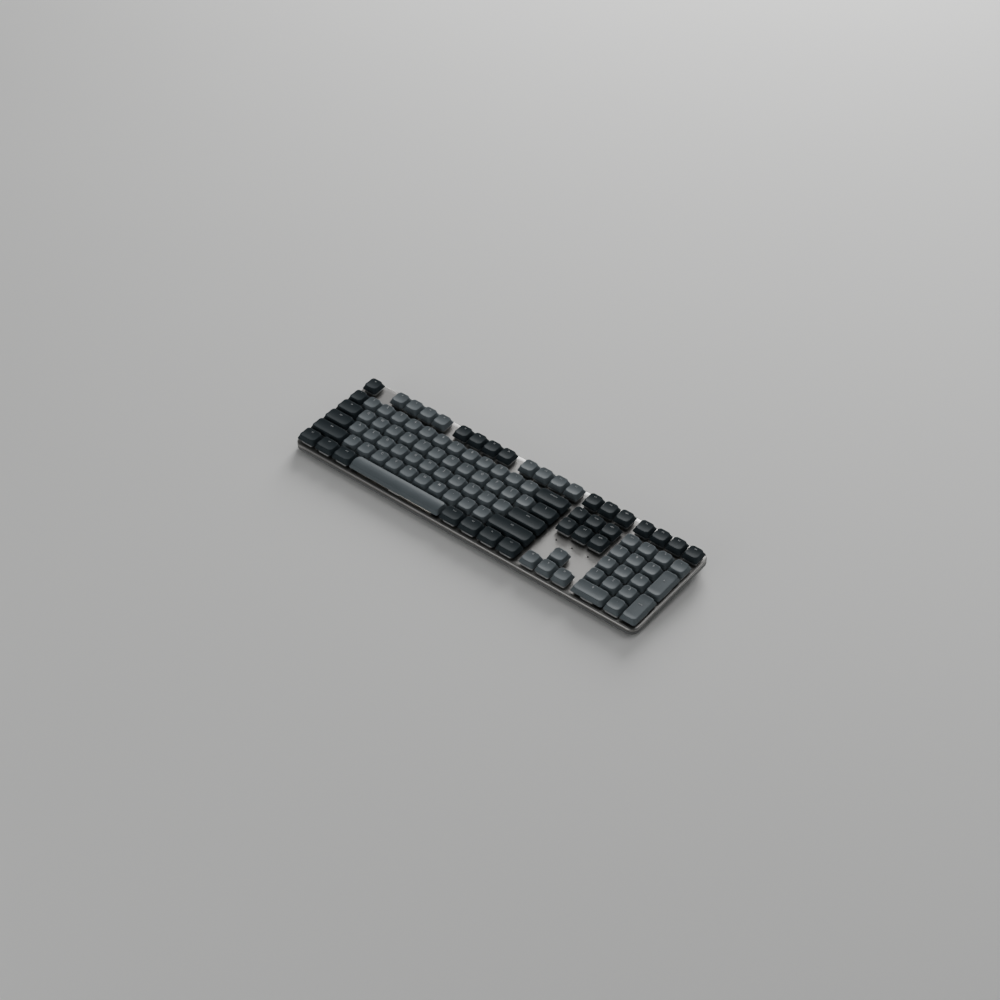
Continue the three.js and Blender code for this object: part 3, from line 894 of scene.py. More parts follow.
def build_switches():
    """Housings on the root, and a stem and a spring for every key."""
    for name, blank, finish, replaced in (
        ("switch_flanges", flange_blank(), "flange", ["switch_housings"]),
        ("switch_towers", tower_blank(), "tower", []),
        ("switch_lower_housings", lower_housing_blank(), "nylon", []),
    ):
        piece(
            name,
            set_on_keys(ALL_KEYS, blank, finish, name),
            "root",
            None,
            replaced,
        )
    stem = stem_blank()
    spring_low, spring_high = SPRING_FLOOR + SPRING_WIRE_RADIUS, 3.1
    coil = spring_blank(spring_low, spring_high)
    for bank in ALL_BANKS:
        name = f"{bank.name}_stems"
        piece(name, set_on_keys(bank.keys, stem, "stem", name), bank.body)
        name = f"{bank.name}_springs"
        springs = piece(name, set_on_keys(bank.keys, coil, "spring", name), "root")
        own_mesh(springs)


# ---- Stabilisers ----
def clip_blank(turned):
    """A stabiliser's clip on the plate: two cheeks with feet, and a bridge behind them."""
    bm = bmesh.new()
    for side in (-1, 1):
        add_block(bm, 1.0, 9.6, 0.02, 2.8, side * 2.5, 0, 0.15)
        add_block(bm, 1.2, 9.6, 0.02, 0.8, side * 3.3, 0, 0.15)
    add_block(bm, 6, 1, 0.02, 2.4, 0, 4.3, 0.15)
    return mesh_from(bm, "clip_blank", Matrix.Rotation(math.radians(90 * turned), 4, "Z"))


def clip_stem_blank():
    """The post under the cap that the wire's end reaches."""
    bm = bmesh.new()
    add_block(bm, 3, 3, 4.8, 7.2, bevel=0.3)
    return mesh_from(bm, "clip_stem_blank")


def clips_of(key):
    """The middles of a wide or tall key's two clips."""
    if key.wide < 2 and key.tall < 2:
        return []
    reach = SPACE_CLIP_REACH if key.wide > 3 else CLIP_REACH
    across = reach if key.wide > key.tall else 0
    return [Key(key.x + side * across, key.y + side * (reach - across)) for side in (-1, 1)]


def cap_wire(key):
    """The wire inside a stabilised cap: a run along one side and a leg back to each clip."""
    run, radius, bend = 6.8, 0.3, 1.0
    level = 4.6
    points = []
    for side in (-1, 1):
        leg = [(side * CLIP_REACH, 0), (side * CLIP_REACH, bend - run)]
        leg.append((side * (CLIP_REACH - bend), -run))
        points += leg if side < 0 else reversed(leg)
    if key.tall > key.wide:
        points = [(-y, x) for x, y in points]
    bm = bmesh.new()
    add_tube(bm, [Vector((key.x + x, key.y + y, level)) for x, y in points], radius)
    return mesh_from(bm, "cap_wire", BOARD)


def build_stabilisers():
    """Clips on the plate, posts and wires in the wide caps, and the space bar's turning wire."""
    wide = [key for key in ALL_KEYS if clips_of(key) and key.tall < 2]
    tall = [key for key in ALL_KEYS if key.tall > 1]
    for name, keys, turned in (
        ("stabiliser_clips_across", wide, 0), ("stabiliser_clips_along", tall, 1)
    ):
        places = [clip for key in keys for clip in clips_of(key)]
        piece(name, set_on_keys(places, clip_blank(turned), "nylon", name), "root")
    for bank in ALL_BANKS:
        key = bank.keys[0]
        if not clips_of(key):
            continue
        name = f"{bank.name}_stabiliser_posts"
        posts = set_on_keys(clips_of(key), clip_stem_blank(), "stem", name)
        piece(name, posts, bank.body)
        if bank.name != "space_bar":
            name = f"{bank.name}_stabiliser_wire"
            piece(name, cap_wire(key), bank.body, MATERIALS["nickel"])
    low, high = size_of("space_bar_stabiliser_wire")
    hinge = Vector(JOINTS["space_bar_stabiliser_turn"]["pos_m"]) / MM
    leg, lean = WIRE_ARM - WIRE_RADIUS, math.asin(TRAVEL / WIRE_ARM)
    reach = (high.x - low.x) / 2 - WIRE_RADIUS
    points = []
    for side in (-1, 1):
        end = Vector((side * reach, leg * math.cos(lean), leg * math.sin(lean)))
        bend = [end, Vector((side * reach, 0.9, 0.4)), Vector((side * (reach - 0.3), 0.25, 0.1))]
        bend.append(Vector((side * (reach - 1), 0, 0)))
        points += bend if side < 0 else reversed(bend)
    middle = (low.x + high.x) / 2
    start = BOARD.inverted() @ hinge
    bm = bmesh.new()
    add_tube(bm, points, WIRE_RADIUS, 10)
    place = BOARD @ Matrix.Translation((middle, start.y, start.z))
    mesh = mesh_from(bm, "space_bar_bent_wire", place, 60)
    node = "space_bar_stabiliser_wire"
    piece("space_bar_bent_wire", mesh, body_of(node), MATERIALS["nickel"], [node])


# ---- Plate, damping sheet and status lights ----
def openings(clearance, low, high):
    """A block through every switch's opening, larger than the opening by a clearance."""
    bm = bmesh.new()
    for key in ALL_KEYS:
        add_block(bm, CUTOUT + clearance, CUTOUT + clearance, low, high, key.x, key.y)
    return bm


def build_plate():
    """The top plate: a chamfered rim, an opening for every switch and three light holes."""
    chamfer = PLATE_CHAMFER
    profile = [
        (PLATE_WALL, -PLATE_THICK),
        (PLATE_WALL, -PLATE_RIM),
        (0.2, -PLATE_RIM),
        (0, -PLATE_RIM + 0.2),
        (0, -chamfer - 0.15),
        (0.04, -chamfer),
        (chamfer - 0.1, -0.08),
        (chamfer + 0.05, 0),
    ]
    blank = rounded_body(PLATE_WIDE, PLATE_DEEP, PLATE_CORNER, profile, 14)
    cutters = openings(0, -2.2, 1)
    for units in LIGHTS_X:
        add_disc(cutters, 1.0, -2.2, 1, board_x(units), board_y(LIGHTS_Y), 20)
    plate = mesh_from(blank, "plate_blank", BOARD, 30)
    mesh = boolean(
        plate, mesh_from(cutters, "plate_openings", BOARD), "DIFFERENCE", "top_plate_machined"
    )
    smooth(mesh, 30)
    piece(
        "top_plate_machined", mesh, "root", MATERIALS["plate"], ["top_plate"]
    )


def build_damping_sheet():
    """A foam sheet between the plate and the circuit board."""
    wide, deep = PLATE_WIDE - 2 * BOARD_INSET, PLATE_DEEP - 2 * BOARD_INSET
    sheet = rounded_body(wide, deep, BOARD_CORNER, [(0, SHEET_LOW), (0, SHEET_HIGH)], 4)
    cutters = openings(0.2, SHEET_LOW - 1, SHEET_HIGH + 1)
    middle = board_x(LIGHTS_X[1])
    add_block(cutters, 2 * UNIT + 6, 3.4, SHEET_LOW - 1, SHEET_HIGH + 1, middle, board_y(LIGHTS_Y))
    sheet = mesh_from(sheet, "sheet_blank", BOARD)
    mesh = boolean(
        sheet, mesh_from(cutters, "sheet_openings", BOARD), "DIFFERENCE", "damping_sheet"
    )
    piece("damping_sheet", mesh, "root", MATERIALS["foam"])


def build_status_lights():
    """One moulded light guide: a bar under the plate with three domed pips."""
    bm = bmesh.new()
    low = SHEET_LOW + 0.05
    add_block(bm, 2 * UNIT + 3, 2.4, low, SHEET_HIGH, board_x(LIGHTS_X[1]), board_y(LIGHTS_Y), 0.1)
    for units in LIGHTS_X:
        add_disc(bm, 0.65, SHEET_HIGH - 0.2, -0.12, board_x(units), board_y(LIGHTS_Y), 20, 0.2)
    mesh = mesh_from(bm, "status_light_pips", BOARD)
    piece("status_light_pips", mesh, "root", MATERIALS["pip"], ["status_light_guide"])


# ---- Case ----
def desk_body(wide, deep, corner, middle_y, low, edge, top, steps=10):
    """A rounded body that stands square to the desk, whose top follows a function of y."""
    rings = []
    for inset, height in fillet(edge, low + edge, edge, -90, 0, 4):
        flat = outline(wide - 2 * inset, deep - 2 * inset, corner - inset, steps)
        rings.append([Vector((p.x, p.y + middle_y, height)) for p in flat])
    flat = outline(wide, deep, corner, steps)
    rings.append([Vector((p.x, p.y + middle_y, top(p.y + middle_y))) for p in flat])
    return loft(rings)


def spine_body(ends):
    """The rounded spine behind the plate, drawn in a little at its two ends."""
    y, front = PLATE_DEEP / 2, PLATE_DEEP / 2 - 8
    middle = CASE_BOTTOM - SPINE_DROP
    under = middle - 14
    half = SPINE_WIDE / 2
    rings = []
    for x, small in ((-half, ends), (-half + ends, 0), (half - ends, 0), (half, ends)):
        radius = SPINE_DEEP - small
        ring = [Vector((x, front, under)), Vector((x, y + radius, under))]
        for step in range(11):
            angle = math.radians(90 * step / 10)
            ring.append(
                Vector((x, y + radius * math.cos(angle), middle + radius * math.sin(angle)))
            )
        ring.append(Vector((x, front, middle + radius)))
        rings.append(ring)
    return loft(rings)


def rear_place(x):
    """The frame of a fitting in the spine's rear face: its z points out of the case."""
    return BOARD @ Matrix.Translation((x, BACK, REAR_Z)) @ Matrix.Rotation(
        math.radians(-90), 4, "X"
    )


def screw_floor(y):
    """The belly's height in the board frame, under a screw at y."""
    tilt = BOARD.to_euler().x
    return (BELLY - BOARD.translation.z) / math.cos(tilt) - y * math.tan(tilt)


def foot_pockets(grown):
    """The two recesses for the feet, as blocks grown by the thickness of their walls."""
    bm = bmesh.new()
    side_gap, front_gap, back_gap, roof = 0.5, 0.8, 3.2, 5.9
    for word in ("left", "right"):
        low, high = size_of(f"{word}_tilt_foot")
        tip = size_of(f"{word}_foot_tip")[0]
        hinge = JOINTS[f"{word}_foot_fold"]["pos_m"][1] / MM
        front = tip.y - front_gap - grown
        back = hinge + back_gap + grown
        wide = high.x - low.x + 2 * (side_gap + grown)
        bottom = BELLY + 0.02 if grown else BELLY - 1
        middle = (low.x + high.x) / 2
        add_block(bm, wide, back - front, bottom, roof + grown, middle, (front + back) / 2)
    return mesh_from(bm, "foot_pockets")


def case_openings():
    """What is cut out of the case: foot and screw recesses, and the rear slots."""
    screws = bmesh.new()
    for x, y in SCREWS:
        add_disc(screws, 2.8, screw_floor(y) - 2, screw_floor(y) + 1.4, x, y, 28)
    mouth = rounded_body(9.7, 4, 1.9, [(0, -4), (0, -0.4), (-0.4, 0.05), (-0.4, 3)], 8)
    slot = rounded_body(7.2, 2.6, 0.5, [(0, -4), (0, -0.3), (-0.3, 0.05), (-0.3, 3)], 4)
    parts = [
        foot_pockets(0),
        mesh_from(screws, "screw_recesses", BOARD),
        mesh_from(mouth, "socket_mouth", rear_place(PORT_X)),
        mesh_from(slot, "slider_slot", rear_place(SWITCH_X)),
    ]
    return join_meshes(parts, "case_openings")


def build_case():
    """The lower case: a shell with a lip inside the plate's rim, a wedge belly and a rear spine."""
    lip = PLATE_WALL + 0.3
    inner = lip + 1.5
    edge = 1.4
    rim_profile = [
        (inner, CASE_BOTTOM + CASE_FLOOR),
        (inner, -PLATE_THICK - 0.3),
        (lip, -PLATE_THICK - 0.3),
        (lip, CASE_TOP),
        (0.15, CASE_TOP),
        (0, CASE_TOP - 0.15),
    ]
    rim_profile += reversed(fillet(edge, CASE_BOTTOM + edge, edge, -90, 0, 5))
    rim = rounded_body(PLATE_WIDE, PLATE_DEEP, PLATE_CORNER, rim_profile, 14)
    back = size_of("bottom_case")[1].y - 0.3
    front = BELLY_FRONT - PLATE_DEEP / 2 + BOARD.translation.y
    middle = (front + back) / 2
    tilt = BOARD.to_euler().x

    def inside_rim(above):
        """The height over the desk of a level in the rim, as a function of y."""
        level = BOARD.translation.z + (CASE_BOTTOM + above) / math.cos(tilt)
        return lambda y: level + (y - BOARD.translation.y) * math.tan(tilt)

    wide, deep = PLATE_WIDE - 2 * BELLY_INSET, back - front
    belly = desk_body(wide, deep, BELLY_CORNER, middle, BELLY, edge, inside_rim(1))
    hollow = desk_body(
        wide - 2 * CASE_FLOOR,
        deep - 2 * CASE_FLOOR,
        BELLY_CORNER - CASE_FLOOR,
        middle,
        BELLY + CASE_FLOOR,
        0.3,
        inside_rim(CASE_FLOOR + 0.2),
    )
    below = bmesh.new()
    add_block(below, 600, 400, BELLY - 60, BELLY)
    bosses = bmesh.new()
    for x, y in SCREWS:
        add_disc(bosses, 3, screw_floor(y) + 1, BOARD_LOW - 0.3, x, y, 20)
    shell = mesh_from(rim, "case_rim", BOARD)
    spine = mesh_from(spine_body(1.2), "case_spine", BOARD)
    spine = boolean(spine, mesh_from(below, "below_case"), "DIFFERENCE", "case_spine")
    for name, other, operation in (
        ("belly", mesh_from(belly, "belly"), "UNION"),
        ("spine", spine, "UNION"),
        ("hollow", mesh_from(hollow, "hollow"), "DIFFERENCE"),
        ("bosses", mesh_from(bosses, "bosses", BOARD), "UNION"),
        ("pockets", foot_pockets(1.6), "UNION"),
        ("openings", case_openings(), "DIFFERENCE"),
    ):
        shell = boolean(shell, other, operation, f"case_with_{name}")
    smooth(shell, 30)
    piece("case_shell", shell, "root", MATERIALS["case"], ["bottom_case"])


def build_case_screws():
    """Hexagon-socket screws in the case's recesses, heads towards the desk."""
    sides = 24
    head = 2.4

    def ring(radius, height, flats=False):
        points = []
        for side in range(sides):
            angle = 2 * math.pi * side / sides
            reach = radius
            if flats:
                reach /= math.cos((angle + math.pi / 6) % (math.pi / 3) - math.pi / 6)
            points.append(Vector((reach * math.cos(angle), reach * math.sin(angle), height)))
        return points

    levels = [
        ring(1.1, 0.75, True), ring(1.1, 0.08, True), ring(1.2, 0, True), ring(head - 0.25, 0)
    ]
    levels += [ring(head, 0.25), ring(head, 1.0), ring(1.2, 1.0), ring(1.2, 6)]
    blank = mesh_from(loft(levels), "screw_blank")
    places = [Key(x, y, z=screw_floor(y) + 0.38) for x, y in SCREWS]
    piece("case_screws", set_on_keys(places, blank, "screw", "case_screws"), "root")


# ---- Circuit board ----
def clear_of_radio(key):
    """Whether a key's parts under the board miss the radio module."""
    low, high = (BOARD.inverted() @ corner for corner in size_of("radio_module"))
    return not (low.x - 8 < key.x < high.x + 8 and low.y - 8 < key.y < high.y + 8)


def build_board_parts():
    """What is soldered on: a light, a diode and pins for each switch, and the chips."""
    light = bmesh.new()
    add_block(light, 3.2, 2.6, BOARD_HIGH, BOARD_HIGH + 0.12, 0, 4.7, 0.03)
    diode = bmesh.new()
    add_block(diode, 1.7, 1.2, BOARD_LOW - 0.7, BOARD_LOW, 5.2, -4.6, 0.1)
    add_block(diode, 2.5, 0.6, BOARD_LOW - 0.25, BOARD_LOW, 5.2, -4.6)
    joints = bmesh.new()
    for x, y in ((-3.2, 2.6), (2.6, 5.2)):
        matrix = Matrix.Translation((x, y, BOARD_LOW)) @ Matrix.Diagonal((1, 1, 0.6, 1))
        bmesh.ops.create_uvsphere(joints, u_segments=8, v_segments=4, radius=0.8, matrix=matrix)
    under = [key for key in ALL_KEYS if clear_of_radio(key)]
    for name, keys, bm, finish in (
        ("switch_lights", ALL_KEYS, light, "led"),
        ("switch_diodes", under, diode, "chip"),
        ("switch_solder_joints", ALL_KEYS, joints, "solder"),
    ):
        blank = mesh_from(bm, f"{name}_blank")
        piece(name, set_on_keys(keys, blank, finish, name), "root")
    chips, legs = bmesh.new(), bmesh.new()
    for x, y, size, count in (
        (25, 18, 8, 12), (-120, -8, 7, 10), (150, -8, 7, 10), (100, 45, 5, 6)
    ):
        add_block(chips, size, size, BOARD_LOW - 1, BOARD_LOW - 0.1, x, y, 0.12)
        pitch = (size - 1) / (count - 1)
        for pin in range(count):
            along = (pin - (count - 1) / 2) * pitch
            add_block(legs, 0.3 * pitch, size + 1.8, BOARD_LOW - 0.2, BOARD_LOW, x + along, y)
            add_block(legs, size + 1.8, 0.3 * pitch, BOARD_LOW - 0.2, BOARD_LOW, x, y + along)
    piece(
        "controller_chips",
        mesh_from(chips, "chips", BOARD),
        "root",
        MATERIALS["chip"],
    )
    piece(
        "controller_legs",
        mesh_from(legs, "legs", BOARD),
        "root",
        MATERIALS["solder"],
    )


def build_battery():
    """A pouch cell with its sealed edge, tape and protection board, and two leads."""
    low, high = size_of("battery_pack")
    middle = BOARD.inverted() @ ((low + high) / 2)
    wide, deep, thick = 92, 36, 4.6
    at = (middle.x, middle.y)
    bottom = middle.z - thick / 2
    puff = [(0.6, 0), (0.15, 0.35), (0, 1), (0, thick - 1), (0.15, thick - 0.35), (0.6, thick)]
    body = rounded_body(
        wide - 8, deep, 2, [(inset, bottom + z) for inset, z in puff], 5, (at[0] - 4, at[1])
    )
    seal = bmesh.new()
    add_block(seal, 8, deep - 2, middle.z - 0.3, middle.z + 0.3, at[0] + wide / 2 - 4, at[1], 0.1)
    protection = bmesh.new()
    add_block(
        protection, 3.5, deep - 8, middle.z + 0.35, middle.z + 1.6, at[0] + wide / 2 - 4, at[1], 0.1
    )
    tape = bmesh.new()
    add_block(
        tape, 5, deep - 4, middle.z + 0.31, middle.z + 1.75, at[0] + wide / 2 - 6.4, at[1], 0.1
    )
    parts = ((body, "foil"), (seal, "foil"), (protection, "mask"), (tape, "tape"))
    pouch = assembly("battery_pouch", parts, BOARD)
    piece("battery_pouch", pouch, "root", None, ["battery_pack"])
    plug_x, plug_y = at[0] + wide / 2 + 12, at[1] - 6
    plug = bmesh.new()
    add_block(plug, 5, 6, BOARD_LOW - 1.6, BOARD_LOW, plug_x, plug_y, 0.2)
    piece(
        "battery_connector",
        mesh_from(plug, "plug", BOARD),
        "root",
        MATERIALS["nylon"],
    )
    leads = bmesh.new()
    for side in (-1, 1):
        start = Vector((at[0] + wide / 2 - 1.5, at[1] - 4 + side, middle.z + 0.8))
        end = Vector((plug_x - 2.3, plug_y + side, BOARD_LOW - 0.9))
        points = []
        for step in range(13):
            share = step / 12
            ease = share * share * (3 - 2 * share)
            points.append(Vector((start.x + (end.x - start.x) * share, 0, 0)))
            points[-1].y = start.y + (end.y - start.y) * ease
            points[-1].z = start.z + (end.z - start.z) * ease
        add_tube(leads, points, 0.45, 8)
    piece("battery_leads", mesh_from(leads, "leads", BOARD), "root", MATERIALS["rubber"])


def build_radio():
    """The radio module: a small board with a shield can and a printed aerial."""
    low, high = size_of("radio_module")
    middle = BOARD.inverted() @ ((low + high) / 2)
    top = middle.z + 0.8
    board = bmesh.new()
    add_block(board, 20, 15, top - 0.8, top, middle.x, middle.y, 0.05)
    can = rounded_body(
        13.4,
        13.4,
        0.8,
        slab_profile(top - 1.6, top - 0.75, 0.3, 0.02, 2),
        4,
        (middle.x - 2.8, middle.y),
    )
    aerial = bmesh.new()
    for turn in range(5):
        x, y = middle.x + 5.2 + 0.9 * turn, middle.y
        add_block(aerial, 0.35, 10, top - 0.86, top - 0.79, x, y)
        end = 5 if turn % 2 else -5
        add_block(aerial, 1.2, 0.35, top - 0.86, top - 0.79, x + 0.4, y + end)
    parts = ((board, "mask"), (can, "nickel"), (aerial, "gold"))
    radio = assembly("radio_can", parts, BOARD)
    piece("radio_can", radio, "root", None, ["radio_module"])


# ---- Rear fittings ----
def build_usb_socket():
    """A USB-C socket: a rolled steel shell, and a tongue with a row of contacts on each face."""
    mouth, depth, wall = -0.3, 7.2, 0.35
    back = mouth - depth
    profile = [
        (wall, back + 1),
        (wall, mouth - 0.12),
        (wall - 0.1, mouth),
        (0.1, mouth),
        (0, mouth - 0.12),
        (0, back),
    ]
    shell = rounded_body(8.9, 3.2, 1.6, profile, 10)
    tongue, contacts = bmesh.new(), bmesh.new()
    add_block(tongue, 6.5, 0.7, back + 0.9, mouth - 1.2, 0, 0, 0.12)
    for face in (-1, 1):
        for pin in range(12):
            add_block(contacts, 0.25, 0.08, back + 1.2, mouth - 1.6, (pin - 5.5) * 0.5, face * 0.34)
    parts = ((shell, "nickel"), (tongue, "nylon"), (contacts, "gold"))
    socket = assembly("usb_c_shell", parts, rear_place(PORT_X))
    piece("usb_c_shell", socket, "root", None, ["usb_c_socket"])


def build_power_switch():
    """The slide switch: a housing under a steel bracket, and a ridged slider in the case's slot."""
    front = -5.6
    housing, bracket = bmesh.new(), bmesh.new()
    add_block(housing, 9, 2.9, front - 3.3, front - 0.1, 0, 0, 0.2)
    for side in (-1, 1):
        add_block(bracket, 0.25, 3, front - 3.4, front, side * 4.55, 0, 0.05)
        add_block(bracket, 2.2, 3, front - 0.25, front, side * 3.6, 0, 0.05)
    name = "power_switch_housing"
    switch = assembly(name, ((housing, "nylon"), (bracket, "nickel")), rear_place(SWITCH_X))
    piece(name, switch, "root", None, ["power_switch_body"])
    low, high = size_of("power_slider")
    knob = bmesh.new()
    face = -0.45
    add_block(knob, high.x - low.x, 2, -5.3, face, 0, 0, 0.25)
    for n in (-1, 0, 1):
        add_block(knob, 0.45, 1.6, face - 0.1, -0.15, n * 0.85, 0, 0.1)
    mesh = mesh_from(knob, "slider_knob", rear_place((low.x + high.x) / 2))
    name = "power_slider_knob"
    piece(
        name, mesh, body_of("power_slider"), MATERIALS["nylon"], ["power_slider"]
    )


# ---- Pads and feet ----
def build_pads():
    """Four rubber pads, bedded in the belly."""
    for place in ("front_left", "front_right", "rear_left", "rear_right"):
        node = f"{place}_pad"
        low, high = size_of(node)
        wide, deep = high.x - low.x, high.y - low.y
        profile = slab_profile(low.z, BELLY + 0.02, 0.5, 0.02, 4)
        middle = ((low.x + high.x) / 2, (low.y + high.y) / 2)
        bm = rounded_body(wide, deep, deep / 2 - 0.1, profile, 10, middle)
        name = f"{place}_moulded_pad"
        piece(name, mesh_from(bm, name), body_of(node), MATERIALS["rubber"], [node])


def foot_leg(wide, long, below, above, barrel):
    """A folding leg, lying flat: a plate with a barrel, hollowed between its ribs."""
    side = [(-long + 0.3, -below), (-0.4, -below)]
    for degrees in range(-78, 141, 12):
        angle = math.radians(degrees)
        side.append((barrel * math.cos(angle), barrel * math.sin(angle)))
    side += [(-long + 0.4, above), (-long, above - 0.4), (-long, 0.3 - below)]
    middle = Vector((-long / 2, (above - below) / 2))
    bevel = 0.35
    rings = []
    for x, shrink in (
        (-wide / 2, bevel), (bevel - wide / 2, 0), (wide / 2 - bevel, 0), (wide / 2, bevel)
    ):
        ring = []
        for y, z in side:
            inward = (middle - Vector((y, z))).normalized() * shrink
            ring.append(Vector((x, y + inward.x, z + inward.y)))
        rings.append(ring)
    hollows = bmesh.new()
    bays, rib = 4, 1.4
    bay = (wide - 7) / bays
    for n in range(bays):
        x = (n - (bays - 1) / 2) * bay
        add_block(hollows, bay - rib, long - 6.5, -below - 1, above - 1.2, x, -long / 2 - 1.2, 0.3)
    return boolean(
        mesh_from(loft(rings), "leg"), mesh_from(hollows, "hollows"), "DIFFERENCE", "foot_leg"
    )


def build_feet():
    """Two folding feet with rubber tips, on steel pins."""
    barrel = 1.9
    for word in ("left", "right"):
        hinge = Vector(JOINTS[f"{word}_foot_fold"]["pos_m"]) / MM
        low, high = size_of(f"{word}_tilt_foot")
        tip_low, tip_high = size_of(f"{word}_foot_tip")
        wide = tip_high.x - tip_low.x
        below, above = hinge.z - tip_low.z, tip_high.z - hinge.z
        middle = Vector(((low.x + high.x) / 2, hinge.y, hinge.z))
        place = Matrix.Translation(middle)
        leg = foot_leg(wide, hinge.y - low.y, below, above, barrel)
        leg.transform(Matrix.Translation(middle * MM))
        hub = bmesh.new()
        half = (high.x - low.x) / 2
        add_tube(hub, [Vector((-half, 0, 0)), Vector((half, 0, 0))], barrel, 28)
        leg = join_meshes([leg, mesh_from(hub, "hub", place)], f"{word}_moulded_foot")
        smooth(leg, 35)
        node = f"{word}_tilt_foot"
        piece(f"{word}_moulded_foot", leg, body_of(node), MATERIALS["case"], [node])
        tip = bmesh.new()
        deep = tip_high.y - tip_low.y
        y = tip_low.y + deep / 2 - hinge.y
        add_block(tip, wide, deep + 0.35, -below, above, 0, y + 0.175, 0.5)
        node = f"{word}_foot_tip"
        mesh = mesh_from(tip, "tip", place)
        piece(f"{word}_rubber_tip", mesh, body_of(node), MATERIALS["rubber"], [node])
        node = f"{word}_foot_pin"
        pin_low, pin_high = size_of(node)
        reach, radius = (pin_high.x - pin_low.x) / 2, (pin_high.z - pin_low.z) / 2
        pin = bmesh.new()
        add_tube(pin, [Vector((-reach, 0, 0)), Vector((reach, 0, 0))], radius, 16)
        mesh = mesh_from(pin, "pin", place)
        piece(f"{word}_hinge_pin", mesh, body_of(node), MATERIALS["nickel"], [node])


# ---- Stage ----
def build_stage(stage):
    """A pale floor, soft lights and the camera."""
    world = bpy.data.worlds.new("studio_world")
    bpy.context.scene.world = world
    world.use_nodes = True
    tree = world.node_tree
    background = tree.nodes["Background"]
    background.inputs["Color"].default_value = linear("#f2f4f6")
    # The room's light changes with height, from the walls' strength to the ceiling's. By default
    # the two are nearly equal.
    direction = add(tree, "ShaderNodeTexCoord").outputs["Generated"]
    height = add(tree, "ShaderNodeSeparateXYZ", {"Vector": direction}).outputs["Z"]
    levels = {
        "From Min": 0.1,
        "From Max": 0.6,
        "To Min": stage.wall_strength,
        "To Max": stage.ceiling_strength,
    }
    strength = add(tree, "ShaderNodeMapRange", {"Value": height, **levels}).outputs["Result"]
    tree.links.new(strength, background.inputs["Strength"])

    bm = bmesh.new()
    bmesh.ops.create_grid(bm, x_segments=1, y_segments=1, size=FLOOR_REACH)
    floor = bpy.data.objects.new("floor", mesh_from(bm, "floor"))
    bpy.context.scene.collection.objects.link(floor)
    paper = textured("paper_backdrop_pale", linear("#f2f2f0"), (0.8, 0.9), 2.0, 0.02, 0.01, 400.0)
    floor.data.materials.append(paper)

    lamps = [
        ("key_light", (-0.9, 2.2, 1.0), 1.4, stage.key_power),
        ("plate_light", (-0.75, 0.9, 1.3), 0.9, stage.plate_power),
        ("top_light", (0.3, 0.55, 1.6), 0.9, stage.top_power),
        ("fill_light", (-0.3, -1.75, 0.44), 1.5, stage.fill_power),
        ("rim_light", (1.2, 1.0, 0.75), 0.6, stage.rim_power),
    ]
    for name, place, size, power in lamps:
        data = bpy.data.lights.new(name, "AREA")
        data.shape = "DISK"
        data.size = size
        data.energy = power
        lamp = bpy.data.objects.new(name, data)
        lamp.location = place
        lamp.rotation_euler = Vector(place).to_track_quat("Z", "Y").to_euler()
        bpy.context.scene.collection.objects.link(lamp)

    data = bpy.data.cameras.new("camera")
    data.sensor_width = 36
    data.lens = stage.lens
    data.clip_end = 20
    camera = bpy.data.objects.new("camera", data)
    bpy.context.scene.collection.objects.link(camera)
    azimuth, elevation, roll = stage.azimuth, stage.elevation, stage.roll
    back = Vector(
        (
            math.sin(azimuth) * math.cos(elevation),
            -math.cos(azimuth) * math.cos(elevation),
            math.sin(elevation),
        )
    )
    level = Vector((math.cos(azimuth), math.sin(azimuth), 0))
    upright = back.cross(level)
    right = level * math.cos(roll) + upright * math.sin(roll)
    up = upright * math.cos(roll) - level * math.sin(roll)
    # The aim is the middle of the block of keys, at the height of the caps.
    aim = Vector((0, board_y(BLOCK_DEEP / 2), CAP_LIFT + CAP_HIGH)) * MM
    place = aim + back * stage.distance + right * stage.shift_right + up * stage.shift_up
    turn = Matrix((right, up, back)).transposed().to_4x4()
    desk = Matrix.Translation(BOARD.translation * MM) @ BOARD.to_3x3().to_4x4()
    camera.matrix_world = desk @ Matrix.Translation(place) @ turn
    bpy.context.scene.camera = camera


# ---- Settings that a user would change ----
class KeyboardSizes(bpy.types.PropertyGroup):
    """Sizes of the keycaps and their legends"""

    cap_foot: bpy.props.FloatProperty(
        name="Cap foot", description="Width of a cap at its skirt",
        default=18.0 * MM, unit="LENGTH",
    )
    cap_face: bpy.props.FloatProperty(
        name="Cap face", description="Width of a cap's face inside its rounded edge",
        default=12.6 * MM, unit="LENGTH",
    )
    cap_edge: bpy.props.FloatProperty(
        name="Cap edge", description="Radius between a cap's face and its sides",
        default=0.9 * MM, unit="LENGTH",
    )
    cap_dish: bpy.props.FloatProperty(
        name="Dish", description="Depth of the hollow in a cap's face",
        default=1.1 * MM, unit="LENGTH",
    )
    cap_crown: bpy.props.FloatProperty(
        name="Crown", description="Fall of the space bar's face to its edges",
        default=1.1 * MM, unit="LENGTH",
    )
    letter_height: bpy.props.FloatProperty(
        name="Letter height", description="Type size of a single letter",
        default=3.6 * MM, unit="LENGTH",
    )
    word_height: bpy.props.FloatProperty(
        name="Word height", description="Type size of a word",
        default=2.1 * MM, unit="LENGTH",
    )
    legend_back: bpy.props.FloatProperty(
        name="Legend setback", description="Middle of the cap to its legend",
        default=4.1 * MM, unit="LENGTH",
    )
    legend_weight: bpy.props.FloatProperty(
        name="Legend weight", description="How far a single letter's strokes are thickened",
        default=0.03 * MM, unit="LENGTH",
    )
    legend_side: bpy.props.FloatProperty(
        name="Legend offset", description="Middle of the cap sideways to its legend",
        default=-0.6 * MM, unit="LENGTH",
    )


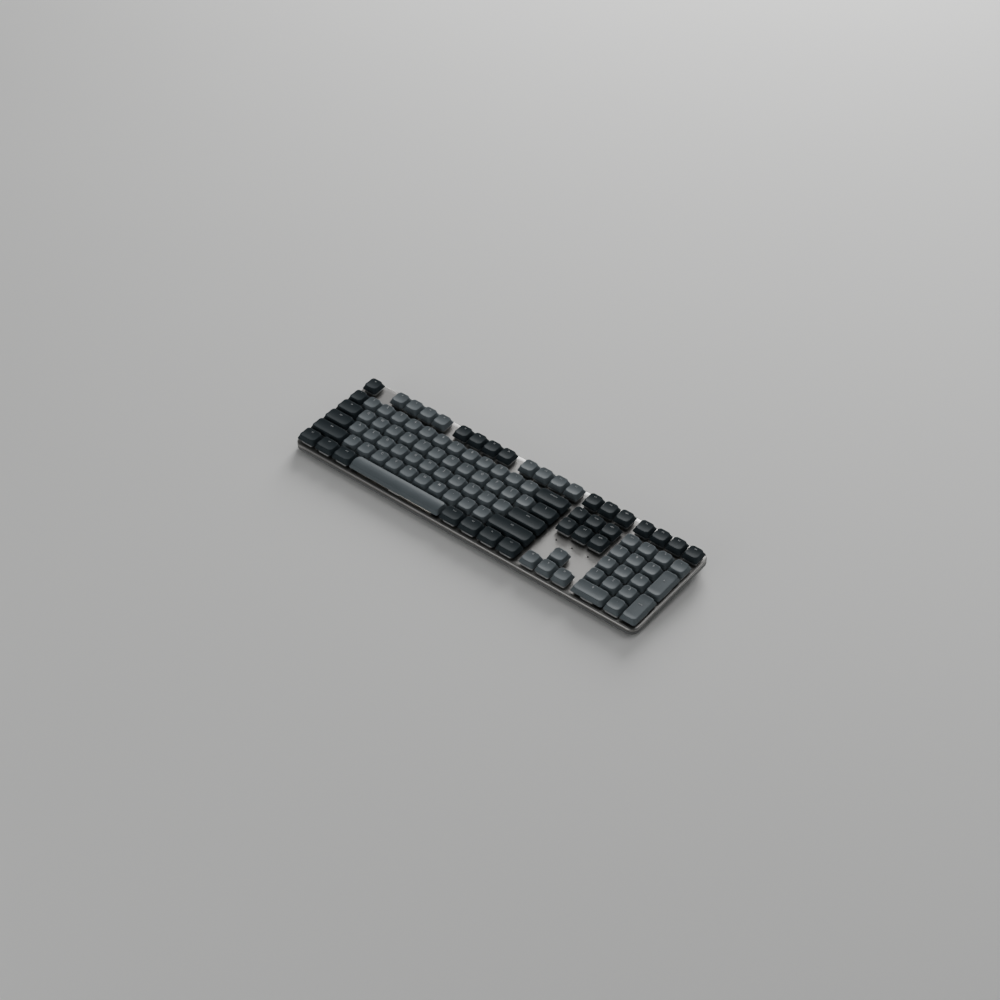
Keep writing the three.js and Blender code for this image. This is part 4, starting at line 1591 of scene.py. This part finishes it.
class KeyboardColours(bpy.types.PropertyGroup):
    """Colours of the main finishes"""

    cap_grey: bpy.props.FloatVectorProperty(
        name="Grey caps", description="Letter, number and arrow keys",
        subtype="COLOR", size=4, default=linear("#636b6f"),
    )
    cap_dark: bpy.props.FloatVectorProperty(
        name="Dark caps", description="Modifier and navigation keys",
        subtype="COLOR", size=4, default=linear("#31393d"),
    )
    legend: bpy.props.FloatVectorProperty(
        name="Legends", description="Letters on the caps",
        subtype="COLOR", size=4, default=linear("#c6c8c9"),
    )
    plate: bpy.props.FloatVectorProperty(
        name="Plate", description="Anodised top plate",
        subtype="COLOR", size=4, default=linear("#979694"),
    )
    case: bpy.props.FloatVectorProperty(
        name="Case", description="Lower case",
        subtype="COLOR", size=4, default=linear("#646565"),
    )
    # Part of the flange's paleness is a painted highlight for the light caught under each cap's front.
    flange: bpy.props.FloatVectorProperty(
        name="Switch flange", description="Clear flange of a switch",
        subtype="COLOR", size=4, default=linear("#b0b2b2"),
    )


class KeyboardStage(bpy.types.PropertyGroup):
    """Camera and lights"""

    azimuth: bpy.props.FloatProperty(
        name="Azimuth", description="Camera round the board",
        default=math.radians(39.993), subtype="ANGLE",
    )
    elevation: bpy.props.FloatProperty(
        name="Elevation", description="Camera above the board",
        default=math.radians(43.615), subtype="ANGLE",
    )
    roll: bpy.props.FloatProperty(
        name="Roll", description="Camera about its own axis",
        default=math.radians(-1.591), subtype="ANGLE",
    )
    distance: bpy.props.FloatProperty(
        name="Distance", description="Camera to the middle of the keys",
        default=1.7763, unit="LENGTH",
    )
    shift_right: bpy.props.FloatProperty(
        name="Sideways", description="Camera moved to its right",
        default=0.005964, unit="LENGTH",
    )
    shift_up: bpy.props.FloatProperty(
        name="Upwards", description="Camera moved up its own axis",
        default=-0.010002, unit="LENGTH",
    )
    lens: bpy.props.FloatProperty(
        name="Lens", description="Focal length in millimetres",
        default=64.55, unit="CAMERA",
    )
    wall_strength: bpy.props.FloatProperty(
        name="Walls", description="Brightness of the walls",
        default=0.13,
    )
    ceiling_strength: bpy.props.FloatProperty(
        name="Ceiling", description="Brightness overhead",
        default=0.14,
    )
    key_power: bpy.props.FloatProperty(
        name="Key light", description="Power of the rear left light",
        default=52, unit="POWER",
    )
    top_power: bpy.props.FloatProperty(
        name="Top light", description="Power of the overhead light",
        default=3.2, unit="POWER",
    )
    plate_power: bpy.props.FloatProperty(
        name="Plate light", description="Power of the light the plate mirrors",
        default=1.55, unit="POWER",
    )
    rim_power: bpy.props.FloatProperty(
        name="Rim light", description="Power of the rear right light",
        default=2.2, unit="POWER",
    )
    fill_power: bpy.props.FloatProperty(
        name="Fill light", description="Power of the front left light",
        default=9.5, unit="POWER",
    )


# ---- Operators ----
class KEYBOARD_OT_stage(bpy.types.Operator):
    """Make the floor, the lights and the camera"""

    bl_idname = "keyboard.stage"
    bl_label = "Stage"

    def execute(self, context):
        build_stage(context.scene.keyboard_stage)
        return {"FINISHED"}


class KEYBOARD_OT_materials(bpy.types.Operator):
    """Make every finish"""

    bl_idname = "keyboard.materials"
    bl_label = "Materials"

    def execute(self, context):
        make_materials(context.scene.keyboard_colours)
        return {"FINISHED"}


class KEYBOARD_OT_plate(bpy.types.Operator):
    """Make the top plate"""

    bl_idname = "keyboard.plate"
    bl_label = "Top Plate"

    def execute(self, context):
        build_plate()
        return {"FINISHED"}


class KEYBOARD_OT_damping_sheet(bpy.types.Operator):
    """Make the foam sheet under the plate"""

    bl_idname = "keyboard.damping_sheet"
    bl_label = "Damping Sheet"

    def execute(self, context):
        build_damping_sheet()
        return {"FINISHED"}


class KEYBOARD_OT_status_lights(bpy.types.Operator):
    """Make the light guide and its three pips"""

    bl_idname = "keyboard.status_lights"
    bl_label = "Status Lights"

    def execute(self, context):
        build_status_lights()
        return {"FINISHED"}


class KEYBOARD_OT_case(bpy.types.Operator):
    """Make the lower case"""

    bl_idname = "keyboard.case"
    bl_label = "Lower Case"

    def execute(self, context):
        build_case()
        return {"FINISHED"}


class KEYBOARD_OT_case_screws(bpy.types.Operator):
    """Make the screws under the case"""

    bl_idname = "keyboard.case_screws"
    bl_label = "Case Screws"

    def execute(self, context):
        build_case_screws()
        return {"FINISHED"}


class KEYBOARD_OT_board_parts(bpy.types.Operator):
    """Make what is soldered to the circuit board"""

    bl_idname = "keyboard.board_parts"
    bl_label = "Circuit Board Parts"

    def execute(self, context):
        build_board_parts()
        return {"FINISHED"}


class KEYBOARD_OT_battery(bpy.types.Operator):
    """Make the battery and its leads"""

    bl_idname = "keyboard.battery"
    bl_label = "Battery"

    def execute(self, context):
        build_battery()
        return {"FINISHED"}


class KEYBOARD_OT_radio(bpy.types.Operator):
    """Make the radio module"""

    bl_idname = "keyboard.radio"
    bl_label = "Radio"

    def execute(self, context):
        build_radio()
        return {"FINISHED"}


class KEYBOARD_OT_usb_socket(bpy.types.Operator):
    """Make the rear socket"""

    bl_idname = "keyboard.usb_socket"
    bl_label = "USB-C Socket"

    def execute(self, context):
        build_usb_socket()
        return {"FINISHED"}


class KEYBOARD_OT_power_switch(bpy.types.Operator):
    """Make the power switch and its slider"""

    bl_idname = "keyboard.power_switch"
    bl_label = "Power Switch"

    def execute(self, context):
        build_power_switch()
        return {"FINISHED"}


class KEYBOARD_OT_pads(bpy.types.Operator):
    """Make the four rubber pads"""

    bl_idname = "keyboard.pads"
    bl_label = "Pads"

    def execute(self, context):
        build_pads()
        return {"FINISHED"}


class KEYBOARD_OT_feet(bpy.types.Operator):
    """Make the two folding feet"""

    bl_idname = "keyboard.feet"
    bl_label = "Feet"

    def execute(self, context):
        build_feet()
        return {"FINISHED"}


class KEYBOARD_OT_switches(bpy.types.Operator):
    """Make the switches' housings, stems and springs"""

    bl_idname = "keyboard.switches"
    bl_label = "Switches"

    def execute(self, context):
        build_switches()
        return {"FINISHED"}


class KEYBOARD_OT_stabilisers(bpy.types.Operator):
    """Make the wide keys' clips, posts and wires"""

    bl_idname = "keyboard.stabilisers"
    bl_label = "Stabilisers"

    def execute(self, context):
        build_stabilisers()
        return {"FINISHED"}


class KEYBOARD_OT_keycaps(bpy.types.Operator):
    """Make the keycaps with their legends"""

    bl_idname = "keyboard.keycaps"
    bl_label = "Keycaps"

    def execute(self, context):
        build_keycaps(context.scene.keyboard_sizes)
        return {"FINISHED"}


class KEYBOARD_PT_build(bpy.types.Panel):
    """Lists the keyboard's operators"""

    bl_label = "Keyboard"
    bl_idname = "KEYBOARD_PT_build"
    bl_space_type = "VIEW_3D"
    bl_region_type = "UI"
    bl_category = "Keyboard"

    def draw(self, context):
        for operator in OPERATORS:
            self.layout.operator(operator.bl_idname)


OPERATORS = (
    KEYBOARD_OT_stage,
    KEYBOARD_OT_materials,
    KEYBOARD_OT_plate,
    KEYBOARD_OT_damping_sheet,
    KEYBOARD_OT_status_lights,
    KEYBOARD_OT_case,
    KEYBOARD_OT_case_screws,
    KEYBOARD_OT_board_parts,
    KEYBOARD_OT_battery,
    KEYBOARD_OT_radio,
    KEYBOARD_OT_usb_socket,
    KEYBOARD_OT_power_switch,
    KEYBOARD_OT_pads,
    KEYBOARD_OT_feet,
    KEYBOARD_OT_switches,
    KEYBOARD_OT_stabilisers,
    KEYBOARD_OT_keycaps,
)
GROUPS = {
    "keyboard_sizes": KeyboardSizes,
    "keyboard_colours": KeyboardColours,
    "keyboard_stage": KeyboardStage,
}


def register():
    for group in GROUPS.values():
        bpy.utils.register_class(group)
    for name, group in GROUPS.items():
        setattr(bpy.types.Scene, name, bpy.props.PointerProperty(type=group))
    for item in (*OPERATORS, KEYBOARD_PT_build):
        bpy.utils.register_class(item)


def unregister():
    for item in (KEYBOARD_PT_build, *reversed(OPERATORS)):
        bpy.utils.unregister_class(item)
    for name, group in GROUPS.items():
        delattr(bpy.types.Scene, name)
        bpy.utils.unregister_class(group)


def main():
    register()
    for operator in OPERATORS:
        folder, name = operator.bl_idname.split(".")
        getattr(getattr(bpy.ops, folder), name)()


if __name__ == "__main__":
    main()
